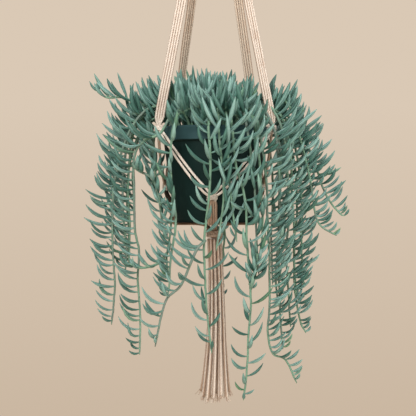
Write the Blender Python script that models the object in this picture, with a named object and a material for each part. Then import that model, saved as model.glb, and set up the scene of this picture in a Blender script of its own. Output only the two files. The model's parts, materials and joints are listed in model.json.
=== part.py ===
"""Trailing succulent in a nursery pot, held in a knotted cotton hanger that hangs from a metal ring.

Metres, +Z up. The origin is the point where a hook bears on the ring: the top of the ring's eye.
The pot's axis is the Z axis. Azimuths are in degrees, anticlockwise from +X seen from above, and
the front of the object faces -Y. A "drop" is a distance below the pot's rim.
"""
import math

import bmesh
import bpy
import numpy as np
from mathutils import Matrix, Vector

MM = 0.001
GAP = 0.4 * MM                      # left between touching pieces

# hanging ring, which stands in the XZ plane
RING_WIRE = 5 * MM
RING_EYE = 40 * MM
RING_MEAN = (RING_EYE + RING_WIRE) / 2
RING_CENTRE_Z = -RING_EYE / 2
PIVOT_Z = RING_CENTRE_Z - RING_MEAN  # middle of the wire at the ring's lowest point

# cotton cord and what is knotted from it
CORD = 4.2 * MM
LOOP_CLEARANCE = 2.6 * MM           # between the ring's wire and the cords looped over it
LOOP_HALF_WIDTH = 8.6 * MM
CROWN_TOP_Z = -62 * MM
CROWN_WRAP_HEIGHT = 32 * MM
CROWN_WRAP_RADIUS = 12.4 * MM
GATHER_RADIUS = 11.5 * MM
GATHER_HEIGHT = 14 * MM
RIM_KNOT = (7.5 * MM, 4.6 * MM, 5.6 * MM)      # half sizes along the rim, outwards, upwards
LOWER_KNOT = (6.5 * MM, 4.8 * MM, 6.5 * MM)
PAIR = (CORD, CORD / 2)             # half width and half thickness of two cords side by side
BUNDLE = (6.2 * MM, 3.2 * MM)       # the same for the four cords under the pot
UNDER_CLEARANCE = 1.8 * MM          # between those bundles and the pot's base

# nursery pot
RIM_Z = -520 * MM
POT_HEIGHT = 134 * MM
RIM_RADIUS = 77 * MM
RIM_BAND = 20 * MM
BODY_TOP_RADIUS = 74.5 * MM
BASE_RADIUS = 56 * MM
WALL = 1.6 * MM
STEP = 1.5 * MM                     # height of the step from the rim band to the body
FLOOR = 5 * MM                      # height of the inside of the base above the pot's foot
SOIL_DROP = 16 * MM
DRAIN_HOLES = 6
DRAIN_RADIUS = 5 * MM
DRAIN_CIRCLE = 40 * MM
BASE_EDGE = 1.5 * MM
BASE_Z = RIM_Z - POT_HEIGHT

LEG_TOP_RADIUS = 7.4 * MM
# azimuth of each leg, and where it bends over the foliage: radius, height above the rim
LEGS = {
    "front_left": (200, 83 * MM, 27 * MM),
    "back_left": (131, 83 * MM, 20 * MM),
    "back_right": (46, 83 * MM, 20 * MM),
    "front_right": (-14, 80 * MM, 20 * MM),
}
RIM_KNOT_DROP = 3 * MM
RIM_KNOT_RADIUS = RIM_RADIUS + RIM_KNOT[1] + GAP
# lower knots: azimuth, drop, distance of the middle from the pot's wall, the legs that meet there
LOWER_KNOTS = {
    "left": (166, 84 * MM, 8.0 * MM, ("front_left", "back_left")),
    "front": (-93, 100 * MM, 5.4 * MM, ("front_left", "front_right")),
    "right": (16, 84 * MM, 8.0 * MM, ("front_right", "back_right")),
    "back": (88, 84 * MM, 6.5 * MM, ("back_right", "back_left")),
}

# tassel cords under the gathering wrap: radius and azimuth at the top, x, y and drop of the end
TASSEL = [
    (3.9, 20, 6, 3, 379), (3.9, 92, 1, 8, 376), (3.9, 164, -7, 4, 381), (3.9, 236, -4, -6, 377),
    (3.9, 308, 5, -6, 382), (8.7, 5, 21, 2, 374), (8.7, 38, 15, 12, 378), (8.7, 71, 7, 18, 380),
    (8.7, 103, -4, 17, 375), (8.7, 136, -13, 13, 379), (8.7, 169, -19, 4, 372), (8.7, 202, -16, -6, 380),
    (8.7, 235, -10, -15, 383), (8.7, 267, -1, -18, 381), (8.7, 300, 9, -16, 377), (8.7, 333, 17, -8, 382),
]
TASSEL_SWAY = 2.5 * MM              # the bundle leans this far to +X halfway down

# plant stems: name, radius, then x, y, drop of each point of the route, and the stem's branches
TRAILING = {
    "strand_far_left": [(-48, -4, 15), (-62, -10, -22), (-92, -18, -26), (-119, -24, 6), (-140, -24, 75),
                        (-143, -22, 131), (-142, -22, 173), (-139, -22, 223), (-144, -22, 277)],
    "strand_left": [(-42, -26, 15), (-58, -42, -12), (-76, -56, 12), (-98, -56, 22), (-112, -52, 48),
                    (-111, -48, 138), (-105, -46, 173), (-106, -44, 215), (-103, -44, 258), (-104, -44, 317)],
    "strand_front_left": [(-30, -36, 15), (-42, -54, -18), (-56, -70, 2), (-61, -74, 58), (-58, -74, 100),
                          (-60, -70, 145), (-66, -66, 180), (-63, -66, 209)],
    "strand_front": [(-6, -48, 15), (-8, -68, -16), (-8, -90, 4), (-5, -96, 46), (-6, -94, 89),
                     (-13, -86, 159), (-12, -82, 202), (-11, -80, 244), (-9, -80, 272), (-4, -80, 312)],
    "strand_front_right": [(16, -44, 15), (20, -66, -24), (25, -86, 6), (30, -92, 55), (43, -92, 103),
                           (45, -88, 159), (50, -82, 237), (47, -82, 290), (43, -82, 343), (39, -82, 376)],
    "strand_right": [(38, -30, 15), (50, -52, -18), (64, -62, 20), (71, -66, 75), (73, -66, 120),
                     (76, -62, 180), (77, -60, 244), (74, -60, 286), (80, -60, 314), (98, -60, 323),
                     (113, -60, 355)],
    "strand_right_inner": [(56, -10, 15), (68, -24, -14), (88, -34, 20), (92, -38, 70), (90, -38, 145),
                           (90, -36, 200), (92, -36, 255), (95, -36, 310)],
    "strand_right_outer": [(52, 6, 15), (66, 4, -24), (92, -10, -18), (106, -16, 32), (108, -18, 90),
                           (113, -18, 159), (113, -18, 220), (119, -18, 270), (128, -18, 289)],
    "strand_far_right": [(46, 22, 15), (62, 22, -36), (96, 10, -34), (114, 4, 12), (131, 0, 58),
                         (138, -2, 96), (147, -4, 135), (172, -4, 153)],
    "strand_back_left": [(-42, 22, 15), (-60, 36, -22), (-92, 44, -16), (-118, 44, 30), (-126, 40, 90),
                         (-124, 36, 150), (-122, 34, 196)],
    "strand_back": [(8, 50, 15), (6, 70, -20), (8, 92, 6), (14, 96, 60), (16, 92, 130), (12, 84, 200),
                    (10, 82, 250)],
}
CROWN = {
    "crown_left": [(-24, -12, 15), (-34, -16, -20), (-46, -20, -52), (-52, -22, -76)],
    "crown_middle": [(2, 6, 15), (4, 0, -24), (-4, -4, -48), (-8, -6, -68)],
    "crown_right": [(30, 0, 15), (40, -2, -20), (58, 2, -48), (72, 6, -70)],
}
# branches of a stem, each from a first point close to it
BRANCHES = {
    "strand_far_left": [[(-104, -8, -36), (-129, 0, -42), (-152, 0, -42), (-170, 0, -56)]],
    "strand_left": [[(-106, -66, 62), (-84, -76, 76), (-74, -80, 110)]],
    "strand_front_left": [[(-78, -70, 190), (-100, -72, 196), (-118, -72, 190)]],
    "strand_front": [[(-26, -98, 172), (-46, -98, 218), (-66, -98, 240), (-78, -98, 290)]],
    "strand_far_right": [[(118, 18, 0), (140, 16, 44), (156, 12, 92), (178, 10, 122), (190, 10, 124)]],
    "crown_left": [[(-54, -10, -44), (-84, -2, -58), (-104, -2, -64)],
                   [(-42, 0, -34), (-60, 26, -58), (-74, 32, -70)]],
    "crown_middle": [[(2, -16, -34), (6, -50, -50), (4, -64, -58)], [(6, 12, -42), (22, 44, -62)]],
    "crown_right": [[(54, -16, -32), (66, -42, -40), (90, -46, -50), (112, -46, -52)],
                    [(56, 18, -40), (84, 28, -46), (116, 30, -34)]],
}
STEM_RADIUS = 1.3 * MM
STEM_STEP = 21 * MM                 # between the joints where leaves grow
JOINT = 3 * MM                      # length of a joint
LEAF_RADIUS = 2.2 * MM
TRAILING_LEAF = 30 * MM
CROWN_LEAF = 36 * MM

COTTON = ((0.80, 0.71, 0.58), 0.9, 0.0)
STEEL = ((0.62, 0.60, 0.57), 0.3, 1.0)
PLASTIC = ((0.016, 0.045, 0.045), 0.45, 0.0)
SOIL = ((0.045, 0.030, 0.020), 0.95, 0.0)
LEAF = ((0.16, 0.30, 0.21), 0.5, 0.0)


def clear_scene():
    for thing in list(bpy.data.objects):
        bpy.data.objects.remove(thing, do_unlink=True)


def finish(name, data, look):
    """An object of this mesh or curve, with a Principled material of its own."""
    thing = bpy.data.objects.new(name, data)
    bpy.context.scene.collection.objects.link(thing)
    colour, roughness, metallic = look
    material = bpy.data.materials.new(name)
    material.use_nodes = True
    shader = material.node_tree.nodes["Principled BSDF"]
    shader.inputs["Base Color"].default_value = (*colour, 1.0)
    shader.inputs["Roughness"].default_value = roughness
    shader.inputs["Metallic"].default_value = metallic
    data.materials.append(material)
    return thing


def mesh_object(name, bm, look):
    """An object of this bmesh, shaded smooth with its sharp edges kept."""
    bmesh.ops.recalc_face_normals(bm, faces=bm.faces)
    mesh = bpy.data.meshes.new(name)
    bm.to_mesh(mesh)
    bm.free()
    mesh.shade_smooth()
    mesh.set_sharp_from_angle(angle=math.radians(40))
    return finish(name, mesh, look)


def around(azimuth, radius, drop):
    """The point at this azimuth and radius from the pot's axis, this far below its rim."""
    turn = math.radians(azimuth)
    return Vector((radius * math.cos(turn), radius * math.sin(turn), RIM_Z - drop))


def wall_radius(drop):
    """The pot's outer radius at this drop."""
    if drop <= RIM_BAND:
        return RIM_RADIUS
    return BODY_TOP_RADIUS + (BASE_RADIUS - BODY_TOP_RADIUS) * min(drop / POT_HEIGHT, 1.0)


def smooth(points, step):
    """Evenly spaced points, about a step apart, on a smooth curve through these points."""
    ends = [points[0] * 2 - points[1], *points, points[-1] * 2 - points[-2]]
    fine = []
    for a, b, c, d in zip(ends, ends[1:], ends[2:], ends[3:]):
        for i in range(12):
            t = i / 12
            fine.append(0.5 * (2 * b + (c - a) * t + (2 * a - 5 * b + 4 * c - d) * t ** 2
                               + (3 * b - a - 3 * c + d) * t ** 3))
    fine.append(points[-1])
    lengths = np.cumsum([0.0] + [(q - p).length for p, q in zip(fine, fine[1:])])
    count = max(2, round(lengths[-1] / step) + 1)
    wanted = np.linspace(0.0, lengths[-1], count)
    columns = [np.interp(wanted, lengths, [p[axis] for p in fine]) for axis in range(3)]
    return [Vector(values) for values in zip(*columns)]


def sweep(name, points, half_sizes, across, look, sides=10):
    """A closed tube of oval section; half_sizes gives one (width, thickness) for each point."""
    bm = bmesh.new()
    rings = []
    for i, point in enumerate(points):
        tangent = (points[min(i + 1, len(points) - 1)] - points[max(i - 1, 0)]).normalized()
        wide = (across(point) - tangent * across(point).dot(tangent)).normalized()
        thick = tangent.cross(wide)
        width, thickness = half_sizes[i]
        ring = []
        for side in range(sides):
            turn = math.tau * side / sides
            arm = wide * width * math.cos(turn) + thick * thickness * math.sin(turn)
            ring.append(bm.verts.new(point + arm))
        rings.append(ring)
    for lower, upper in zip(rings, rings[1:]):
        for side in range(sides):
            after = (side + 1) % sides
            bm.faces.new((lower[side], lower[after], upper[after], upper[side]))
    bm.faces.new(list(reversed(rings[0])))
    bm.faces.new(rings[-1])
    return mesh_object(name, bm, look)


def along_rim(point):
    """The horizontal direction round the pot's axis at this point."""
    flat = Vector((point.x, point.y, 0.0))
    if flat.length < 1e-6:
        return Vector((1.0, 0.0, 0.0))
    return Vector((0.0, 0.0, 1.0)).cross(flat.normalized())


def turned(name, profile, look, segments):
    """A solid turned about the Z axis; its (radius, z) profile starts and ends on the axis."""
    bm = bmesh.new()
    corners = [bm.verts.new((radius, 0.0, z)) for radius, z in profile]
    edges = [bm.edges.new((a, b)) for a, b in zip(corners, corners[1:])]
    bmesh.ops.spin(bm, geom=corners + edges, cent=(0, 0, 0), axis=(0, 0, 1), angle=math.tau,
                   steps=segments, use_merge=True, use_duplicate=False)
    bmesh.ops.remove_doubles(bm, verts=bm.verts, dist=1e-6)
    return mesh_object(name, bm, look)


def barrel(name, centre, half_sizes, azimuth, look):
    """A knot's lump: a coarse ball stretched along the rim, outwards and upwards."""
    bm = bmesh.new()
    bmesh.ops.create_uvsphere(bm, u_segments=10, v_segments=6, radius=1.0)
    along, outwards, up = half_sizes
    place = (Matrix.Translation(centre) @ Matrix.Rotation(math.radians(azimuth), 4, "Z")
             @ Matrix.Diagonal((outwards, along, up, 1.0)))
    bmesh.ops.transform(bm, matrix=place, verts=bm.verts)
    return mesh_object(name, bm, look)


def hanging_ring():
    """A round wire ring standing in the XZ plane, with the hook point at its inner top."""
    bm = bmesh.new()
    profile = []
    for side in range(10):
        turn = math.tau * side / 10
        x, y = RING_WIRE / 2 * math.cos(turn), RING_WIRE / 2 * math.sin(turn)
        profile.append(bm.verts.new((RING_MEAN + x, y, 0)))
    edges = [bm.edges.new((a, b)) for a, b in zip(profile, profile[1:] + profile[:1])]
    bmesh.ops.spin(bm, geom=profile + edges, cent=(0, 0, 0), axis=(0, 1, 0), angle=math.tau,
                   steps=28, use_merge=True, use_duplicate=False)
    bmesh.ops.remove_doubles(bm, verts=bm.verts, dist=1e-6)
    bmesh.ops.translate(bm, verts=bm.verts, vec=(0, 0, RING_CENTRE_Z))
    mesh_object("hanging_ring", bm, STEEL)


def crown_loops():
    """The band of cords folded over the ring's wire, its two sides closing in to the wrap."""
    inner = RING_WIRE / 2 + LOOP_CLEARANCE
    outer = inner + CORD
    foot_z = CROWN_TOP_Z + GAP
    foot_in, foot_out = 0.4 * MM, 0.4 * MM + 2 * CORD
    arc = [math.pi * step / 12 for step in range(13)]
    outline = [(outer * math.cos(turn), PIVOT_Z + outer * math.sin(turn)) for turn in arc]
    outline += [(-foot_out, foot_z), (-foot_in, foot_z)]
    outline += [(inner * math.cos(turn), PIVOT_Z + inner * math.sin(turn)) for turn in reversed(arc)]
    outline += [(foot_in, foot_z), (foot_out, foot_z)]
    bm = bmesh.new()
    corners = [bm.verts.new((-LOOP_HALF_WIDTH, y, z)) for y, z in outline]
    face = bm.faces.new(corners)
    pulled = bmesh.ops.extrude_face_region(bm, geom=[face])
    moved = [item for item in pulled["geom"] if isinstance(item, bmesh.types.BMVert)]
    bmesh.ops.translate(bm, verts=moved, vec=(2 * LOOP_HALF_WIDTH, 0, 0))
    bmesh.ops.triangulate(bm, faces=[f for f in bm.faces if len(f.verts) > 4])
    mesh_object("crown_loops", bm, COTTON)


def wrap(name, top_z, height, radius):
    """A barrel of cord wound round the gathered cords."""
    edge = 2 * MM
    profile = [(0.0, top_z), (radius - edge, top_z), (radius, top_z - edge), (radius, top_z - height + edge),
               (radius - edge, top_z - height), (0.0, top_z - height)]
    turned(name, profile, COTTON, 20)


def legs_and_rim_knots():
    """Four legs from the crown wrap to the knots at the rim, spreading flat on the way."""
    top_z = CROWN_TOP_Z - CROWN_WRAP_HEIGHT - 2 * GAP
    for name, (azimuth, bend_radius, bend_height) in LEGS.items():
        knot_top = RIM_KNOT_DROP - RIM_KNOT[2] - GAP
        route = [
            around(azimuth, LEG_TOP_RADIUS, RIM_Z - top_z),
            around(azimuth, LEG_TOP_RADIUS, RIM_Z - top_z + 8 * MM),
            around(azimuth, 14 * MM, RIM_Z - top_z + 38 * MM),
            around(azimuth, (bend_radius + 14 * MM) / 2, (RIM_Z - top_z + 38 * MM - bend_height) / 2),
            around(azimuth, bend_radius, -bend_height),
            around(azimuth, RIM_KNOT_RADIUS, knot_top),
        ]
        points = smooth(route, 32 * MM)
        sizes = []
        for point in points:
            spread = min((top_z - point.z) / (60 * MM), 1.0)
            tuck = min((point.z - (RIM_Z - knot_top)) / (25 * MM), 1.0)
            sizes.append(((2.9 + 4.1 * spread * max(tuck, 0.3)) * MM, (3.4 - 1.0 * spread) * MM))
        sweep("leg_" + name, points, sizes, along_rim, COTTON, sides=8)
        centre = around(azimuth, RIM_KNOT_RADIUS, RIM_KNOT_DROP)
        barrel("rim_knot_" + name, centre, RIM_KNOT, azimuth, COTTON)


def net_pairs_and_lower_knots():
    """Pairs of cords from the rim knots to the lower knots, and bundles from there under the pot."""
    for name, (azimuth, drop, stand_off, legs) in LOWER_KNOTS.items():
        knot_radius = wall_radius(drop) + stand_off
        centre = around(azimuth, knot_radius, drop)
        barrel("lower_knot_" + name, centre, LOWER_KNOT, azimuth, COTTON)
        for leg in legs:
            leg_azimuth = LEGS[leg][0]
            turn = (leg_azimuth - azimuth + 180) % 360 - 180
            side = math.copysign(1.0, turn)
            start_drop = RIM_KNOT_DROP + RIM_KNOT[2] + 2 * GAP
            start = around(azimuth + turn - side * 4.0, RIM_KNOT_RADIUS, start_drop)
            end_drop = drop - LOWER_KNOT[2] * 0.95
            end_turn = side * 5.6
            route = [start]
            for share in (0.25, 0.5, 0.75):
                at_drop = (1 - share) * (RIM_KNOT_DROP + RIM_KNOT[2]) + share * end_drop
                free = (1 - share) * RIM_KNOT_RADIUS + share * knot_radius
                radius = max(free, wall_radius(at_drop) + PAIR[1] + GAP)
                route.append(around(azimuth + turn * (1 - share) + end_turn * share, radius, at_drop))
            route.append(around(azimuth + end_turn, knot_radius, end_drop))
            points = smooth(route, 13 * MM)
            sweep(f"net_pair_{name}_{leg}", points, [PAIR] * len(points), along_rim, COTTON, sides=8)
        half = BUNDLE[1]
        corner = BASE_RADIUS - BASE_EDGE
        bend = BASE_EDGE + half + UNDER_CLEARANCE
        route = [
            around(azimuth, knot_radius, drop + LOWER_KNOT[2] + GAP),
            around(azimuth, wall_radius(drop + 20 * MM) + half + 2.8 * MM, drop + 20 * MM),
            around(azimuth, corner + bend + 0.6 * MM, POT_HEIGHT - 6 * MM),
            around(azimuth, corner + bend * math.sqrt(0.5), POT_HEIGHT - BASE_EDGE + bend * math.sqrt(0.5)),
            around(azimuth, corner - 3 * MM, POT_HEIGHT - BASE_EDGE + bend),
            around(azimuth, BASE_RADIUS / 2, POT_HEIGHT - BASE_EDGE + bend),
            around(azimuth, 14 * MM, POT_HEIGHT - BASE_EDGE + bend),
        ]
        points = smooth(route, 7 * MM)
        sweep("under_bundle_" + name, points, [BUNDLE] * len(points), along_rim, COTTON, sides=8)


def tassel():
    """Sixteen cord ends hanging from the gathering wrap, spreading towards the bottom."""
    top_drop = RIM_Z - (gather_top() - GATHER_HEIGHT - GAP)
    for number, (radius, azimuth, end_x, end_y, end_drop) in enumerate(TASSEL, start=1):
        top = around(azimuth, radius * MM, top_drop)
        end = Vector((end_x * MM, end_y * MM, RIM_Z - end_drop * MM))
        route = [top]
        for share, spread in ((0.12, 0.02), (0.3, 0.08), (0.5, 0.2), (0.7, 0.42), (0.87, 0.72)):
            flat = top.lerp(end, spread)
            sway = TASSEL_SWAY * math.sin(math.pi * share)
            route.append(Vector((flat.x + sway, flat.y, top.z + (end.z - top.z) * share)))
        route.append(end)
        curve = bpy.data.curves.new(f"tassel_cord_{number:02d}", "CURVE")
        curve.dimensions = "3D"
        curve.bevel_depth = CORD / 2
        curve.bevel_resolution = 2
        curve.use_fill_caps = True
        points = smooth(route, 3 * CORD)
        spline = curve.splines.new("POLY")
        spline.points.add(len(points) - 1)
        for spot, point in zip(spline.points, points):
            spot.co = (*point, 1.0)
        finish(f"tassel_cord_{number:02d}", curve, COTTON)


def gather_top():
    """Height of the gathering wrap's top, just under the bundles that cross the pot's base."""
    return BASE_Z - UNDER_CLEARANCE - 2 * BUNDLE[1] - 2 * GAP


def pot():
    """A tapered pot with a proud rim band, a raised middle in its base and drain holes."""
    inner_top = RIM_RADIUS - WALL - 0.6 * MM
    inner_base = wall_radius(POT_HEIGHT - FLOOR) - WALL
    profile = [
        (0.0, BASE_Z + 3 * MM), (BASE_RADIUS - 9 * MM, BASE_Z + 3 * MM), (BASE_RADIUS - 7 * MM, BASE_Z),
        (BASE_RADIUS - BASE_EDGE, BASE_Z), (BASE_RADIUS, BASE_Z + BASE_EDGE),
        (wall_radius(RIM_BAND + STEP), RIM_Z - RIM_BAND - STEP), (RIM_RADIUS - 0.8 * MM, RIM_Z - RIM_BAND),
        (RIM_RADIUS, RIM_Z - RIM_BAND + 1 * MM), (RIM_RADIUS, RIM_Z - 1 * MM), (RIM_RADIUS - 0.8 * MM, RIM_Z),
        (inner_top, RIM_Z), (inner_top - 1.2 * MM, RIM_Z - RIM_BAND + 2 * STEP),
        (wall_radius(RIM_BAND + STEP) - WALL, RIM_Z - RIM_BAND - 2 * STEP), (inner_base, BASE_Z + FLOOR),
        (0.0, BASE_Z + FLOOR),
    ]
    body = turned("pot", profile, PLASTIC, 32)
    bm = bmesh.new()
    for hole in range(DRAIN_HOLES):
        turn = math.tau * (hole + 0.5) / DRAIN_HOLES
        place = Matrix.Translation((DRAIN_CIRCLE * math.cos(turn), DRAIN_CIRCLE * math.sin(turn), BASE_Z))
        bmesh.ops.create_cone(bm, cap_ends=True, segments=10, radius1=DRAIN_RADIUS, radius2=DRAIN_RADIUS,
                              depth=30 * MM, matrix=place)
    mesh = bpy.data.meshes.new("drain_cutter")
    bm.to_mesh(mesh)
    bm.free()
    cutter = bpy.data.objects.new("drain_cutter", mesh)
    bpy.context.scene.collection.objects.link(cutter)
    cutter.hide_render = True
    cutter.display_type = "WIRE"
    cut = body.modifiers.new("drain_holes", "BOOLEAN")
    cut.operation = "DIFFERENCE"
    cut.object = cutter


def potting_mix():
    """The root ball that fills the pot, its top crowned a little."""
    top = RIM_Z - SOIL_DROP
    side = 0.6 * MM
    shoulder = wall_radius(RIM_BAND + STEP) - WALL - side
    profile = [
        (0.0, BASE_Z + FLOOR + GAP), (wall_radius(POT_HEIGHT - FLOOR) - WALL - side, BASE_Z + FLOOR + GAP),
        (shoulder, RIM_Z - RIM_BAND - 3 * STEP), (shoulder, top - 2 * MM), (shoulder - 4 * MM, top - 1 * MM),
        (shoulder / 2, top), (0.0, top),
    ]
    turned("potting_mix", profile, SOIL, 28)


class Room:
    """Balls along everything that leaves must keep clear of."""

    def __init__(self):
        self.middles = np.zeros((0, 3))
        self.radii = np.zeros(0)

    def add(self, points, radius):
        fine = spaced(points)
        self.middles = np.vstack([self.middles, fine])
        self.radii = np.concatenate([self.radii, np.full(len(fine), radius)])

    def has_space(self, points, radius):
        fine = spaced(points)
        for x, y, z in fine:
            drop = RIM_Z - z
            if -3 * MM < drop < POT_HEIGHT + 8 * MM and math.hypot(x, y) < RIM_RADIUS + radius + 3 * MM:
                return False
        apart = np.linalg.norm(fine[:, None, :] - self.middles[None, :, :], axis=2)
        return bool((apart > radius + self.radii[None, :] + 0.8 * MM).all())


def spaced(points):
    """Places every 2 mm or less along a run of points."""
    fine = []
    for a, b in zip(points, points[1:]):
        steps = max(1, math.ceil((b - a).length / (2 * MM)))
        fine += [tuple(a.lerp(b, i / steps)) for i in range(steps)]
    fine.append(tuple(points[-1]))
    return np.array(fine)


def in_place(x, y, drop):
    """A plant point given in millimetres across, away and below the rim's middle."""
    return Vector((x * MM, y * MM, RIM_Z - drop * MM))


def pulled_face(bm, face, centre, direction, radius):
    """Extrude a face to a new centre, square to a direction; gives the new face and its side faces."""
    face.normal_update()
    arms = [vert.co - face.calc_center_median() for vert in face.verts]
    turn = face.normal.rotation_difference(direction)
    new = bmesh.ops.extrude_discrete_faces(bm, faces=[face])["faces"][0]
    for vert, arm in zip(new.verts, arms):
        vert.co = centre + (turn @ arm).normalized() * radius
    sides = [next(other for other in edge.link_faces if other is not new) for edge in new.edges]
    return new, sides


def grow(bm, face, points):
    """Extrude a face into a stem; gives the side faces of the short joints where leaves can grow."""
    joints = []
    for behind, point, ahead in zip(points, points[1:], points[2:]):
        direction = (ahead - behind).normalized()
        face, _ = pulled_face(bm, face, point - direction * JOINT / 2, direction, STEM_RADIUS)
        face, sides = pulled_face(bm, face, point + direction * JOINT / 2, direction, STEM_RADIUS)
        joints.append(sides)
    pulled_face(bm, face, points[-1], (points[-1] - points[-2]).normalized(), STEM_RADIUS / 2)
    return joints


def leaf(bm, side, room, length, upright):
    """Extrude one side face of a joint into a pointed leaf, if there is room for it."""
    side.normal_update()
    out = side.normal.copy()
    base = side.calc_center_median()
    up = Vector((0, 0, 1)) if out.z > -0.3 else Vector((0, 0, 0))
    if upright:
        middle = base + out * length * 0.34 + up * length * 0.26
        tip = base + out * length * 0.46 + up * length * 0.86
    else:
        middle = base + out * length * 0.42 - up * length * 0.06
        tip = base + out * length * 0.80 + up * length * 0.30
    run = [base + (middle - base).normalized() * 4 * MM, middle, tip]
    if not room.has_space(run, LEAF_RADIUS):
        return
    room.add(run, LEAF_RADIUS)
    end, _ = pulled_face(bm, side, middle, (tip - base).normalized(), LEAF_RADIUS)
    bmesh.ops.poke(bm, faces=[end])["verts"][0].co = tip


def plant(name, main, branches, room, length, upright):
    """A stem with its branches and leaves as one closed body."""
    bm = bmesh.new()
    heading = (main[1] - main[0]).normalized()
    arm = heading.orthogonal().normalized() * STEM_RADIUS
    foot = []
    for corner in range(3):
        foot.append(bm.verts.new(main[0] + Matrix.Rotation(math.tau * corner / 3, 3, heading) @ arm))
    joints = grow(bm, bm.faces.new(foot), main)
    bm.faces.new(list(reversed(foot)))
    for points in branches:
        joint = min(joints, key=lambda sides: (sides[0].calc_center_median() - points[0]).length)
        middle = sum((side.calc_center_median() for side in joint), Vector()) / len(joint)
        for side in joint:
            side.normal_update()
        best = max(joint, key=lambda side: side.normal.dot(points[0] - middle))
        joint.remove(best)
        joints = joints + grow(bm, best, [best.calc_center_median(), *points])
    for joint in joints:
        middle = sum((side.calc_center_median() for side in joint), Vector()) / len(joint)
        outwards = Vector((middle.x, middle.y, 0)).normalized()
        for side in joint:
            side.normal_update()
        ranked = sorted(joint, key=lambda side: -side.normal.dot(outwards))
        for side in ranked[:2]:
            leaf(bm, side, room, length, upright)
    mesh_object(name, bm, LEAF)


def plants():
    """Every stem keeps clear of the hanger, the pot and the other stems; leaves grow where they fit."""
    room = Room()
    for thing in bpy.context.scene.objects:
        if thing.name.startswith(("leg_", "rim_knot", "net_pair", "lower_knot", "under_bundle")):
            room.middles = np.vstack([room.middles, [tuple(vert.co) for vert in thing.data.vertices]])
            room.radii = np.concatenate([room.radii, np.full(len(thing.data.vertices), CORD)])
    stems = {}
    for name, route in {**TRAILING, **CROWN}.items():
        main = smooth([in_place(*point) for point in route], STEM_STEP)
        twigs = []
        for points in BRANCHES.get(name, []):
            twigs.append(smooth([in_place(*point) for point in points], STEM_STEP))
        stems[name] = (main, twigs)
        room.add(main, STEM_RADIUS)
        for points in twigs:
            fork = min(main, key=lambda point: (point - points[0]).length)
            room.add([fork, *points], STEM_RADIUS)
    for name, (main, twigs) in stems.items():
        upright = name in CROWN
        plant(name, main, twigs, room, CROWN_LEAF if upright else TRAILING_LEAF, upright)


def main():
    clear_scene()
    hanging_ring()
    crown_loops()
    wrap("crown_wrap", CROWN_TOP_Z, CROWN_WRAP_HEIGHT, CROWN_WRAP_RADIUS)
    legs_and_rim_knots()
    net_pairs_and_lower_knots()
    wrap("gathering_wrap", gather_top(), GATHER_HEIGHT, GATHER_RADIUS)
    tassel()
    pot()
    potting_mix()
    plants()


main()
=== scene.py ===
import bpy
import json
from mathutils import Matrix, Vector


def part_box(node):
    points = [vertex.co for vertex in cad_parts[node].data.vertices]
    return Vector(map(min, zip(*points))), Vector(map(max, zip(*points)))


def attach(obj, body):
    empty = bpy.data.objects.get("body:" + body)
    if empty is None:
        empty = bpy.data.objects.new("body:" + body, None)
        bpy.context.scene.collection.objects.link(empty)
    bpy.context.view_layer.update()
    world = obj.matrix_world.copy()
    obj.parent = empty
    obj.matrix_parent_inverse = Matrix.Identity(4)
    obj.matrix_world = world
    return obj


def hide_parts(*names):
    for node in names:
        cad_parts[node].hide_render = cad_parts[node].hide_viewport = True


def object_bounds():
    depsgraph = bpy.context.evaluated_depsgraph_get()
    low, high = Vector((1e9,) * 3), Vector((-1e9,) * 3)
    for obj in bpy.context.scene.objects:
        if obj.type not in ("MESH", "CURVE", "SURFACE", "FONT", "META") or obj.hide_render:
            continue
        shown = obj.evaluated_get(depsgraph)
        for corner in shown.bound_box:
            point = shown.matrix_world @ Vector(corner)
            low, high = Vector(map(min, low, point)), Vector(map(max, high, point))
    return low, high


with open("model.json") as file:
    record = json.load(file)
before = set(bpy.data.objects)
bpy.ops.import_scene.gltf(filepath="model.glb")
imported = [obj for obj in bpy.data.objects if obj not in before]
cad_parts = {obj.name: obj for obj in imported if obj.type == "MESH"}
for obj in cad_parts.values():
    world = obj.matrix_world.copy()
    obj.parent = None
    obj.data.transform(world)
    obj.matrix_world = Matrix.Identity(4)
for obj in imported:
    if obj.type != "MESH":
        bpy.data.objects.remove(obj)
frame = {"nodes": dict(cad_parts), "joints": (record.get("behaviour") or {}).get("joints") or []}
cad_box = [list(corner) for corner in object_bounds()]

# Looks of a trailing succulent in a nursery pot, hung in a knotted cotton hanger. Metres, +Z up, in
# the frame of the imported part: the origin is the hook point of the hanging ring.
import json
import math
import random

import bmesh
import bpy
import numpy as np
from mathutils import Vector

MM = 0.001
UP = np.array((0.0, 0.0, 1.0))
SEED = 20

# the pot, as packed
RIM_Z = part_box("pot")[1].z
BASE_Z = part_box("pot")[0].z
RIM_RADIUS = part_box("pot")[1].x
POT_HEIGHT = RIM_Z - BASE_Z
RIM_BAND = 20 * MM
BODY_TOP_RADIUS = 74.5 * MM
BASE_RADIUS = 56 * MM
WALL = 1.6 * MM
BASE_HOLLOW = 3 * MM            # the base's underside stands this far above the foot ring
BASE_TOP = 5 * MM
BASE_OPENING = 40 * MM          # radius of the open middle of the base

# potting mix: radius at its foot, and the bits of bark and perlite on its top
MIX_FOOT_RADIUS = 54 * MM
BITS = 230
PERLITE_EACH = 4                # one bit in so many is perlite

# cotton cord: three plies laid up with one turn in LAY
CORD = 4.2 * MM
LAY = 11 * MM
CORD_STEP = 2.3 * MM            # from ring to ring along a cord
CORD_SIDES = 12
PLIES = 3
PLY_DEPTH = 0.14                # how far the valleys between the plies go in, as a share of the radius
NET_CORD = 3.8 * MM
NET_SPACING = 6.0 * MM
LEG_CORDS = 4
LEG_SPACING = 3.5 * MM
BUNDLE_SPACING = 3.3 * MM
LOOP_SPACING = 4.25 * MM
FRAY_THREADS = 16

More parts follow.
